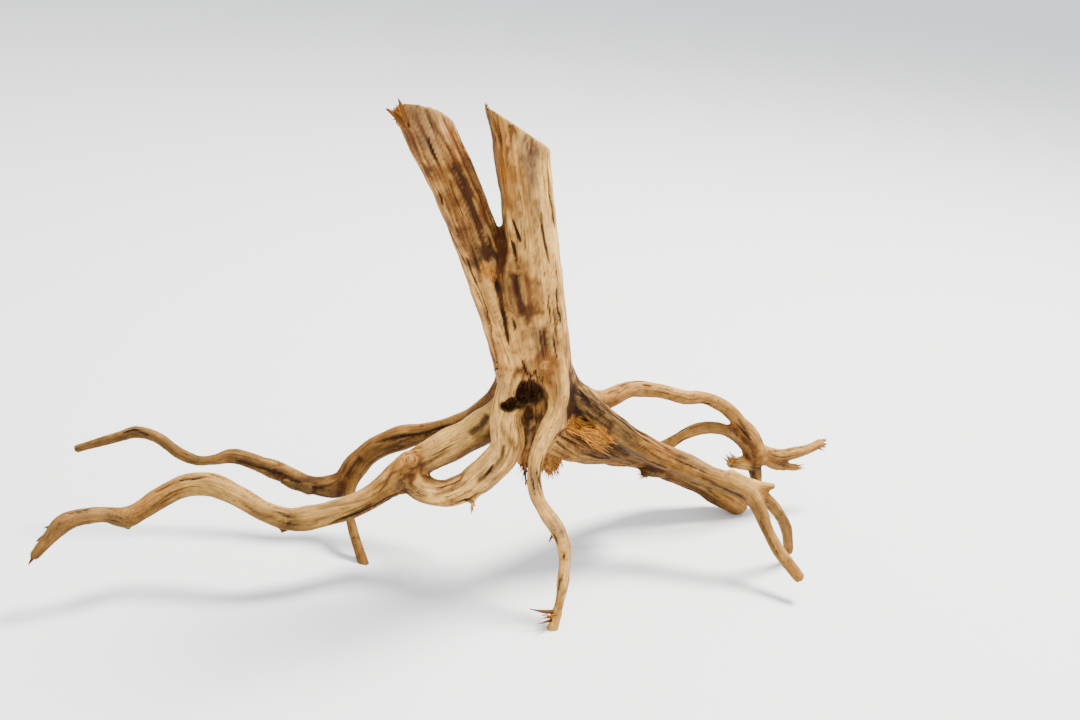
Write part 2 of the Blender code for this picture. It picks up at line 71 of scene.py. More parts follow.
# The share of that relief that the straight, even limbs have.
CALM = {"stem_left": 0.3, "stem_right": 0.3, "fork_bulge": 0.5}
DOME = ((0.8, 0.25), (0.45, 0.45))
DOME_RISE = 0.5
SEED = 20

# Each limb's centre line: x, y, z and radius in centimetres. The points began as marks on the photo
# with widths and judged depths, which a scratch script turned into centimetres.
LIMBS = {
    "stem_left": (
        (1.4, -0.4, 11.4, 1.6), (0.8, -0.4, 14.4, 1.75), (-0.3, -0.6, 17.6, 1.65),
        (-1.6, -0.6, 20.7, 1.55), (-2.95, -0.5, 23.85, 1.48), (-4.55, -0.4, 27.3, 1.5),
        (-6.1, -0.4, 30.1, 1.55), (-7.7, -0.3, 33.6, 1.6),
    ),
    "stem_right": (
        (2.7, -0.2, 11.0, 1.7), (2.3, -0.5, 14.4, 1.85), (1.45, -1.0, 18.4, 1.85),
        (0.65, -1.3, 22.3, 1.8), (0.0, -1.3, 26.1, 1.7), (-0.65, -1.1, 29.6, 1.75),
        (-1.3, -0.9, 32.8, 1.85),
    ),
    "foot_core": (
        (1.6, -0.5, 13.0, 1.4), (1.5, -0.7, 9.6, 0.95),
    ),
    "left_back": (
        (0.7, 1.0, 15.6, 0.9), (0.3, 1.9, 12.6, 0.8), (-1.0, 3.2, 10.2, 0.65),
        (-3.2, 4.4, 8.6, 0.7), (-5.5, 5.4, 7.7, 0.82), (-7.4, 6.0, 6.7, 0.84),
        (-8.7, 6.2, 5.4, 0.86), (-9.9, 6.2, 3.9, 0.85), (-11.8, 6.6, 3.8, 0.65),
        (-13.4, 7.2, 4.4, 0.65), (-15.9, 8.2, 5.2, 0.55), (-17.1, 8.5, 5.45, 0.55),
        (-18.2, 8.75, 5.15, 0.4), (-19.4, 9.0, 5.0, 0.38), (-20.7, 9.4, 5.5, 0.4),
        (-22.0, 9.8, 6.5, 0.42), (-23.4, 10.1, 6.9, 0.42), (-24.7, 10.3, 6.5, 0.38),
        (-27.5, 10.6, 5.6, 0.3),
    ),
    "left_back_leg": (
        (-8.7, 6.2, 5.3, 0.65), (-9.4, 5.0, 3.5, 0.44), (-9.4, 3.4, 2.0, 0.37),
        (-8.75, 1.7, -0.3, 0.4),
    ),
    "left_back_stub": (
        (-11.9, 6.4, 3.7, 0.62), (-13.0, 6.6, 3.95, 0.5), (-13.7, 6.7, 4.2, 0.36),
    ),
    "left_mid": (
        (0.8, -0.2, 12.9, 1.15), (-0.4, 0.0, 11.4, 1.15), (-2.0, 0.5, 10.0, 1.15),
        (-3.7, 1.0, 8.8, 1.1), (-5.2, 1.3, 7.8, 1.05), (-6.2, 1.4, 7.1, 1.05),
    ),
    "left_loop": (
        (0.3, -0.8, 16.2, 1.1), (-0.2, -1.5, 13.9, 1.0), (-0.6, -2.0, 12.0, 1.0),
        (-0.4, -2.2, 10.2, 1.15), (-1.3, -2.0, 8.6, 1.05), (-2.5, -1.3, 7.0, 1.05),
        (-3.9, -0.5, 6.1, 0.95), (-5.2, 0.4, 6.1, 0.95), (-6.2, 1.1, 6.8, 1.05),
    ),
    "knob": (
        (-6.9, 1.3, 5.9, 0.85), (-6.4, 1.2, 7.0, 1.15), (-5.9, 1.1, 8.1, 0.75),
    ),
    "left_front": (
        (-6.4, 1.3, 6.8, 1.25), (-7.5, 1.0, 6.2, 0.92), (-8.9, 0.6, 5.5, 0.8),
        (-10.5, 0.1, 5.1, 0.82), (-12.3, -0.3, 4.9, 0.8), (-14.1, -0.5, 4.9, 0.76),
        (-15.8, -0.3, 5.5, 0.7), (-17.4, 0.5, 6.3, 0.68), (-19.0, 1.1, 6.9, 0.74),
        (-20.6, 1.4, 6.8, 0.77), (-22.1, 1.2, 6.2, 0.68), (-23.3, 0.8, 5.6, 0.63),
        (-24.3, 0.3, 5.4, 0.66), (-25.5, -0.2, 5.9, 0.53), (-26.8, -0.4, 6.0, 0.53),
        (-28.0, -0.8, 5.8, 0.56), (-28.9, -1.2, 5.0, 0.43), (-29.8, -1.45, 4.0, 0.32),
    ),
    "front": (
        (2.2, -1.6, 16.9, 0.9), (2.7, -2.2, 14.3, 0.8), (2.6, -2.7, 12.8, 0.65),
        (1.9, -3.1, 11.4, 0.6), (1.3, -3.5, 10.2, 0.53), (1.0, -4.0, 9.0, 0.5),
        (1.1, -4.6, 7.7, 0.48), (1.7, -5.2, 6.6, 0.5), (2.4, -5.8, 5.6, 0.5),
        (2.7, -6.4, 4.6, 0.48), (2.6, -7.0, 3.6, 0.43), (2.4, -7.5, 2.5, 0.38),
        (2.15, -7.9, 1.4, 0.32), (1.6, -8.5, -0.3, 0.42),
    ),
    "right_front": (
        (2.7, -0.2, 15.9, 1.1), (3.9, 0.0, 13.4, 1.1), (5.5, 0.1, 12.0, 1.0),
        (7.7, 0.1, 10.2, 0.95), (9.8, 0.1, 8.8, 0.93), (11.5, -0.2, 7.9, 0.9),
        (13.3, -0.9, 7.3, 0.87), (14.6, -1.8, 6.9, 0.8), (15.9, -2.6, 6.6, 0.73),
        (17.1, -3.2, 6.1, 0.68), (17.7, -4.0, 5.2, 0.55), (18.05, -4.9, 4.1, 0.45),
        (18.55, -5.9, 3.0, 0.45), (19.05, -6.9, 2.3, 0.42), (19.5, -7.8, 1.7, 0.4),
    ),
    "right_stub": (
        (15.8, -2.5, 7.0, 0.63), (17.3, -3.0, 6.6, 0.45), (19.0, -3.3, 6.5, 0.24),
    ),
    "right_leg": (
        (16.7, -3.1, 6.3, 0.56), (18.2, -3.2, 5.8, 0.48), (19.6, -3.0, 4.5, 0.43),
        (20.7, -2.8, 3.0, 0.4), (21.2, -2.7, 1.5, 0.37), (21.4, -2.6, 0.7, 0.32),
    ),
    "right_web": (
        (3.2, 0.2, 11.6, 1.3), (5.3, 1.0, 10.1, 1.2), (7.9, 1.6, 8.6, 1.1),
        (11.0, 2.4, 6.9, 0.9),
    ),
    "right_low": (
        (3.0, 0.2, 10.0, 1.4), (5.5, 1.5, 8.3, 1.3), (8.8, 3.6, 6.7, 1.15),
        (12.4, 5.4, 5.2, 1.05), (15.4, 6.0, 3.9, 1.2), (18.1, 5.8, 2.6, 1.2),
        (20.0, 5.4, 1.45, 1.15), (21.2, 5.3, 0.6, 0.95),
    ),
    "right_low_stub": (
        (15.3, 5.7, 3.7, 0.65), (13.8, 5.1, 3.9, 0.45), (12.5, 4.6, 4.3, 0.35),
    ),
    "right_back": (
        (3.0, 0.6, 13.9, 1.0), (5.7, 1.8, 11.9, 0.82), (8.0, 3.2, 10.8, 0.72),
        (10.6, 4.5, 11.0, 0.6), (13.1, 5.0, 10.6, 0.55), (15.2, 5.0, 10.0, 0.52),
        (16.9, 4.9, 9.9, 0.5), (18.6, 4.8, 9.1, 0.54), (20.1, 4.9, 7.7, 0.57),
        (21.4, 5.0, 6.3, 0.6), (22.4, 5.1, 4.7, 0.6),
    ),
    "right_back_tip": (
        (21.8, 5.0, 5.4, 0.6), (23.7, 5.2, 4.7, 0.52), (25.1, 5.4, 4.7, 0.45),
        (26.6, 5.6, 4.9, 0.4), (27.8, 5.8, 5.3, 0.36),
    ),
    "right_back_stub": (
        (22.2, 5.0, 4.8, 0.5), (23.8, 5.2, 3.9, 0.38), (25.8, 5.5, 3.4, 0.28),
    ),
    "right_arch": (
        (12.2, 5.0, 5.5, 0.75), (13.9, 4.8, 6.1, 0.5), (15.6, 4.8, 7.1, 0.47),
        (17.0, 4.8, 7.5, 0.49), (18.6, 4.9, 7.3, 0.49), (20.1, 5.0, 6.5, 0.5),
        (21.4, 5.2, 5.2, 0.55), (22.1, 5.4, 3.6, 0.5), (22.5, 5.5, 2.2, 0.46),
        (22.5, 5.5, 1.0, 0.4),
    ),
    "arch_stub": (
        (22.0, 5.3, 3.9, 0.5), (21.1, 5.4, 4.1, 0.52), (19.9, 5.5, 4.15, 0.42),
    ),
    "fork_bulge": (
        (-0.3, -1.7, 24.2, 0.5), (-0.55, -1.9, 22.5, 1.0), (-0.45, -1.9, 21.0, 1.15),
        (0.0, -1.8, 19.5, 1.0), (0.5, -1.7, 18.2, 0.7),
    ),
}

# Long furrows pressed into the limbs and painted with shade, darker where deeper: half width and depth in
# centimetres, then the line's points.
FURROWS = (
    (0.45, 0.16, (-5.3, -1.9, 29.3), (-4.7, -1.9, 28.3), (-3.4, -1.9, 25.3), (-2.2, -2.0, 22.7)),
    (0.22, 0.20, (-2.0, -2.1, 21.8), (-1.7, -2.2, 20.6), (-1.2, -2.1, 19.0), (-0.8, -2.1, 17.2)),
    (0.30, 0.14, (-1.1, -2.8, 22.4), (-0.9, -3.0, 21.5), (-0.5, -2.9, 20.3), (-0.1, -2.7, 19.2)),
    (0.16, 0.12, (-1.1, -2.3, 24.2), (-1.0, -2.6, 23.3), (-0.7, -2.9, 22.3)),
    (0.14, 0.10, (-1.3, -2.4, 25.5), (-1.0, -2.6, 24.8), (-0.7, -2.7, 24.1)),
    (0.25, 0.10, (-12.0, -0.9, 4.5), (-10.3, -0.6, 4.9), (-8.6, -0.1, 5.3), (-7.0, 0.2, 5.9)),
    (0.22, 0.08, (-7.6, 5.5, 7.3), (-6.0, 4.8, 8.0), (-4.4, 4.2, 8.5), (-2.8, 3.6, 9.3)),
    (0.40, 0.12, (-1.3, -0.5, 11.9), (-1.8, -0.7, 11.0), (-2.6, -0.4, 10.1)),
    (0.22, 0.09, (-0.9, -3.2, 11.1), (-1.0, -3.2, 9.8), (-1.6, -3.1, 8.8), (-2.6, -2.6, 7.7)),
    (0.22, 0.10, (6.5, -0.3, 12.2), (8.6, 0.0, 10.7), (11.0, -0.2, 9.1), (12.6, -1.1, 8.2)),
    (0.25, 0.12, (13.6, -1.9, 7.1), (15.2, -3.0, 6.5), (16.8, -3.8, 5.7)),
    (0.25, 0.12, (14.9, 4.5, 4.6), (16.8, 4.6, 3.6), (18.8, 4.4, 2.4)),
    (0.20, 0.08, (-17.3, 8.1, 5.4), (-15.6, 7.5, 5.0), (-14.1, 6.8, 4.7), (-12.3, 6.0, 4.0)),
)
# Knots and burrs raised on them: half size and height in centimetres, then the middle.
KNOTS = (
    (0.50, 0.07, (0.3, -2.5, 29.8)),
    (0.40, 0.08, (2.2, -2.6, 19.1)),
    (0.40, 0.08, (-6.7, 0.1, 6.6)),
    (0.55, 0.12, (-6.1, 0.5, 8.2)),
    (0.40, 0.12, (2.1, -6.1, 6.0)),
    (0.45, 0.08, (-14.8, -1.1, 5.1)),
    (0.40, 0.08, (-24.3, -0.2, 5.8)),
    (0.45, 0.07, (9.6, -0.1, 8.0)),
    (0.40, 0.07, (12.3, -1.4, 7.3)),
    (0.40, 0.07, (1.6, -2.5, 15.9)),
    (0.40, 0.06, (17.6, -4.4, 5.5)),
)

# Chunky torn pieces, grown into the skin: foot x, y, z, tip x, y, z and foot width, in centimetres.
CHIPS = (
    (-2.4, -1.7, 7.2, -2.5, -2.3, 5.3, 1.6),
    (-14.4, -0.6, 4.8, -14.9, -1.0, 3.9, 1.3),
    (-24.3, 0.0, 5.3, -24.1, -0.3, 4.4, 1.0),
    (6.7, -0.2, 9.7, 4.4, -1.3, 11.1, 0.6),
    (7.0, -0.1, 9.4, 4.2, -1.4, 10.7, 0.7),
    (7.3, 0.0, 9.0, 4.5, -1.3, 10.2, 0.7),
    (7.0, -0.1, 8.8, 4.9, -1.2, 9.8, 0.6),
    (5.0, -0.8, 10.6, 7.7, -0.6, 9.6, 0.6),
    (5.2, -0.8, 10.1, 8.1, -0.4, 9.0, 0.6),
    (1.0, -1.1, 9.8, 1.5, -1.2, 6.9, 1.9),
    (0.7, -1.3, 9.9, 0.7, -1.4, 7.7, 1.2),
    (1.5, -0.6, 9.8, 1.9, -0.9, 7.7, 1.3),
    (2.9, -0.4, 9.3, 3.3, -0.8, 6.8, 2.8),
    (3.3, -0.2, 9.0, 3.8, -0.6, 7.1, 2.4),
    (3.5, -0.2, 8.9, 4.3, -0.5, 7.6, 1.9),
    (2.5, -0.4, 9.4, 2.8, -0.9, 7.2, 1.6),
    (20.9, 5.4, 4.1, 19.3, 5.6, 4.2, 0.9),
    (13.7, 5.0, 4.1, 12.3, 4.5, 4.3, 0.9),
)

# Thin slivers: the same seven numbers each.
SPLINTERS = (
    (-29.4, -1.3, 4.5, -30.1, -1.7, 3.55, 0.5),
    (-29.0, -1.1, 5.2, -29.75, -0.8, 4.75, 0.45),
    (-28.3, -0.8, 5.8, -29.3, -0.4, 5.4, 0.45),
    (2.0, -8.1, 1.0, 0.0, -8.4, 1.3, 0.4),
    (1.8, -8.3, 0.55, 0.4, -8.9, 0.8, 0.3),
    (2.3, -5.7, 5.6, 1.6, -6.1, 5.1, 0.4),
    (27.4, 5.8, 5.3, 28.2, 5.9, 5.5, 0.3),
    (27.4, 5.8, 4.9, 28.2, 5.8, 4.7, 0.3),
    (25.4, 5.5, 3.6, 26.5, 5.5, 3.6, 0.25),
    (25.3, 5.5, 3.25, 26.4, 5.6, 3.05, 0.25),
    (20.4, 5.5, 4.35, 19.9, 5.6, 5.0, 0.35),
    (21.2, 5.4, 4.45, 20.7, 5.5, 5.15, 0.35),
    (13.1, 4.8, 4.4, 12.1, 4.5, 4.7, 0.35),
    (13.1, 4.8, 3.95, 12.2, 4.6, 3.7, 0.35),
    (-7.9, -0.9, 31.0, -9.1, -1.1, 31.9, 1.1),
    (-7.8, -1.2, 31.2, -8.45, -1.35, 32.5, 1.0),
    (-13.6, 7.0, 4.2, -14.7, 7.2, 4.4, 0.35),
)

# The ragged hollow under the fork: each bite's centre and half sizes in centimetres, and its tilt
# in degrees down to the right.
HOLLOW_BITES = {
    "hollow": ((0.85, -2.5, 13.7), (1.0, 1.6, 0.95), 30),
    "hollow_wedge": ((-0.2, -2.5, 13.3), (0.95, 0.9, 0.4), -12),
    "hollow_slot": ((1.05, -2.6, 12.4), (0.42, 1.3, 1.1), 0),
}
LUMP_ROWS = 14
LUMP_COLUMNS = 20
LUMP_ROUGHNESS = 0.2
LEFT_CUT_POINT = (-7.1, -0.6, 31.5)
LEFT_CUT_NORMAL = (0.17, 0.55, 0.95)
RIGHT_CUT_POINT = (-1.0, -0.9, 30.9)
RIGHT_CUT_NORMAL = (0.52, 0.05, 0.86)
CUTTER_SIZE = 6.4
SPIKE_FLATNESS = 0.6
SPIKE_HINT = (0.2, 1, 0.1)

# Colours of the wood, as linear red, green and blue.
CREAM = (0.60, 0.33, 0.085)
TAN = (0.25, 0.112, 0.026)
ORANGE = (0.22, 0.075, 0.009)
BROWN = (0.080, 0.024, 0.005)
DARK = (0.018, 0.006, 0.002)
GREY = (0.12, 0.068, 0.036)
# Painted shade: the fibres inside the hollow are coloured this near black.
HOLLOW_SHADE = (0.05, 0.019, 0.006)
AMBER = (0.42, 0.17, 0.025)
TORN_DEEP = (0.32, 0.11, 0.014)
TORN_BRIGHT = (0.80, 0.38, 0.07)
SAWN_COLOUR = (0.30, 0.17, 0.06)
SPLINTER_COLOUR = (0.09, 0.032, 0.006)
CRACK_COLOUR = (0.010, 0.004, 0.002)
PALETTE = {"cream": CREAM, "orange": ORANGE, "brown": BROWN, "dark": DARK, "grey": GREY}
# How each limb leans between those: its cream, orange, brown and grey shares over the tan, and then its
# lightness. The lightness and brown share are partly painted shade and light, as on the web, which sits in
# shade and is made dark and brown.
LIMB_TONES = {
    "stem_left": (0.34, 0.05, 0.0, 0.12, 1.25),
    "stem_right": (0.46, 0.08, 0.0, 0.12, 1.15),
    "fork_bulge": (0.2, 0.3, 0.05, 0.1, 0.95),
    "left_back": (0.0, 0.75, 0.28, 0.0, 0.46),
    "left_back_leg": (0.0, 0.5, 0.3, 0.0, 0.5),
    "left_back_stub": (0.0, 0.4, 0.4, 0.0, 0.42),
    "left_mid": (0.3, 0.25, 0.1, 0.1, 0.75),
    "left_loop": (0.75, 0.0, 0.0, 0.2, 1.2),
    "knob": (0.15, 0.8, 0.1, 0.0, 0.85),
    "left_front": (0.28, 0.38, 0.08, 0.1, 0.62),
    "front": (0.4, 0.1, 0.0, 0.3, 1.0),
    "right_front": (0.1, 0.35, 0.2, 0.05, 0.62),
    "right_stub": (0.2, 0.4, 0.1, 0.0, 0.7),
    "right_web": (0.0, 0.5, 0.7, 0.0, 0.5),
    "right_low": (0.1, 0.35, 0.2, 0.1, 0.75),
    "right_low_stub": (0.0, 0.4, 0.5, 0.0, 0.5),
    "right_back": (0.2, 0.55, 0.05, 0.0, 0.85),
    "right_back_tip": (0.15, 0.4, 0.15, 0.0, 0.85),
}
DEFAULT_TONE = (0.1, 0.5, 0.2, 0.0, 0.65)
# Limbs that touch are kept in different slots, so that their grain can be blended where they meet.
SLOTS = {
    "stem_right": 1, "foot_core": 1, "left_mid": 1, "left_front": 1, "right_web": 1, "right_leg": 1,
    "right_low_stub": 1, "right_back_tip": 1, "left_loop": 2, "left_back": 2, "right_front": 2,
    "fork_bulge": 2, "right_back_stub": 2, "right_arch": 2,
}
SLOT_COUNT = 3
# A distance, in radii, that counts as out of a limb's reach.
FAR = 9.0
# The box in which a limb's points are looked for is this many radii wider than its centre line.
LIMB_REACH = 2.5
# How far along its noise each limb starts, so that no two limbs have the same grain.
LIMB_SHIFT = 0.37
# How sharply the grain of one slot gives way to the next, and the colour of one limb to the next.
SLOT_SHARPNESS = 8
SLOT_FADE = 0.2
TONE_SHARPNESS = 5
# A slot with less than this weight adds nothing to the grain.
LEAST_WEIGHT = 0.01
# Cracks that the photo shows: half width in millimetres, then the line's points in centimetres. A
# scratch script placed them on the part from marks on the photo, and wrote these rows.
CRACKS = (
    (0.45, (-6.7, -1.9, 30.4), (-6.4, -1.9, 29.6), (-6.0, -1.8, 28.9)),
    (0.5, (-5.7, -1.3, 26.9), (-5.5, -1.3, 26.5), (-5.4, -1.2, 26.1)),
    (0.35, (-3.8, -1.4, 22.8), (-3.3, -1.5, 21.7), (-2.8, -1.7, 20.6)),
    (0.35, (-3.1, -1.4, 21.0), (-2.6, -1.6, 19.7), (-2.1, -1.5, 18.4)),
    (0.3, (-2.8, -1.7, 20.8), (-2.3, -1.7, 19.4), (-1.8, -1.6, 17.7)),
    (0.75, (-2.0, -2.1, 21.7), (-1.7, -2.1, 20.5), (-1.2, -2.1, 19.0), (-0.8, -2.1, 17.2)),
    (0.65, (-1.3, -2.4, 25.5), (-1.0, -2.6, 24.8), (-0.7, -2.7, 24.1)),
    (0.65, (-1.2, -2.2, 24.1), (-0.9, -2.5, 23.2), (-0.7, -2.9, 22.3)),
    (0.55, (0.1, -2.2, 16.3), (0.4, -2.2, 15.6), (0.7, -2.2, 15.0)),
    (0.3, (0.9, -3.1, 22.4), (1.1, -3.0, 21.5), (1.4, -3.0, 20.5)),
    (0.3, (1.9, -2.7, 20.4), (2.1, -2.7, 19.6), (2.5, -2.5, 18.6)),
    (0.4, (-7.6, 5.5, 7.3), (-6.0, 4.8, 8.0), (-4.4, 4.3, 8.4), (-2.8, 3.6, 9.3)),
    (0.5, (-12.0, -0.8, 4.4), (-10.3, -0.5, 4.9), (-8.5, 0.0, 5.2), (-7.0, 0.2, 5.9)),
    (0.35, (-28.1, -0.9, 6.3), (-27.3, -0.7, 6.5), (-26.4, -0.4, 6.5)),
    (0.3, (-20.3, 8.9, 5.1), (-19.4, 8.7, 5.0)),
    (0.3, (-24.4, 10.0, 6.9), (-23.6, 9.8, 7.2), (-22.6, 9.6, 6.8)),
    (0.4, (-13.3, 6.4, 4.4), (-12.3, 6.0, 4.0), (-11.0, 5.7, 3.9)),
    (0.4, (10.8, -0.8, 8.7), (12.5, -1.4, 7.9), (13.8, -2.0, 7.5)),
    (0.35, (6.5, -0.5, 12.1), (8.4, -0.5, 10.6), (10.4, -0.6, 9.1)),
    (0.35, (4.4, -1.1, 13.3), (5.6, -0.8, 12.5), (6.8, -0.7, 11.5)),
    (0.35, (10.0, 2.9, 6.1), (7.6, 1.4, 7.2), (5.5, -0.0, 8.4)),
    (0.3, (16.7, 4.6, 7.9), (18.2, 4.5, 7.6), (19.8, 4.5, 6.8)),
    (0.3, (22.8, 4.7, 5.3), (24.8, 5.2, 5.1), (26.2, 5.4, 5.2)),
    (0.3, (2.2, -7.5, 3.3), (2.0, -7.8, 2.3)),
    (0.35, (1.0, -4.3, 9.4), (1.3, -4.7, 8.4), (1.7, -4.9, 7.5)),
)
# Fine furrows, too narrow for the part: half width and depth in centimetres, then the line's points. They
# were placed in the same way.
# Their darkness is painted shade, as in the long furrows.
FINE_FURROWS = (
    (0.15, 0.05, (-22.8, 0.9, 6.6), (-21.3, 1.1, 7.3), (-19.6, 0.9, 7.6)),
    (0.28, 0.06, (-9.6, 5.4, 4.6), (-9.2, 5.5, 5.5), (-8.5, 5.5, 6.4)),
    (0.10, 0.05, (-1.2, -2.0, 13.7), (-1.2, -2.6, 12.6), (-1.3, -2.8, 11.1)),
    (0.10, 0.05, (-0.4, -2.2, 12.9), (-0.5, -3.0, 12.0), (-0.6, -3.3, 10.7)),
    (0.10, 0.05, (-0.9, -2.5, 13.4), (-0.9, -3.0, 12.0), (-1.0, -3.2, 11.1)),
    (0.12, 0.05, (0.9, -4.3, 9.4), (1.0, -4.7, 8.5), (1.4, -5.1, 7.6)),
    (0.20, 0.08, (4.7, -1.0, 13.0), (5.8, -0.8, 12.0), (6.8, -0.8, 11.2)),
    (0.15, 0.06, (8.6, 2.9, 11.1), (10.2, 3.9, 11.4), (12.1, 4.5, 11.2), (14.7, 4.8, 10.5)),
    (0.15, 0.06, (17.6, 4.7, 7.9), (19.5, 4.5, 7.2), (20.8, 4.6, 5.9)),
    (0.14, 0.05, (17.4, -4.5, 5.0), (17.9, -5.5, 3.7), (18.4, -6.6, 2.7)),
    (0.14, 0.06, (11.2, -0.7, 8.7), (13.2, -1.4, 8.0)),
    (0.14, 0.06, (-2.1, -1.5, 18.6), (-1.6, -1.4, 17.0), (-1.1, -1.2, 15.3)),
    (0.12, 0.05, (-0.4, -2.9, 26.8), (0.2, -3.0, 24.4), (0.7, -3.1, 21.8)),
    (0.12, 0.05, (-6.4, -1.6, 28.6), (-5.3, -1.5, 26.4), (-4.2, -1.5, 23.9)),
    (0.14, 0.05, (3.0, -2.0, 18.1), (3.1, -2.0, 16.7), (3.1, -2.6, 15.4)),
)
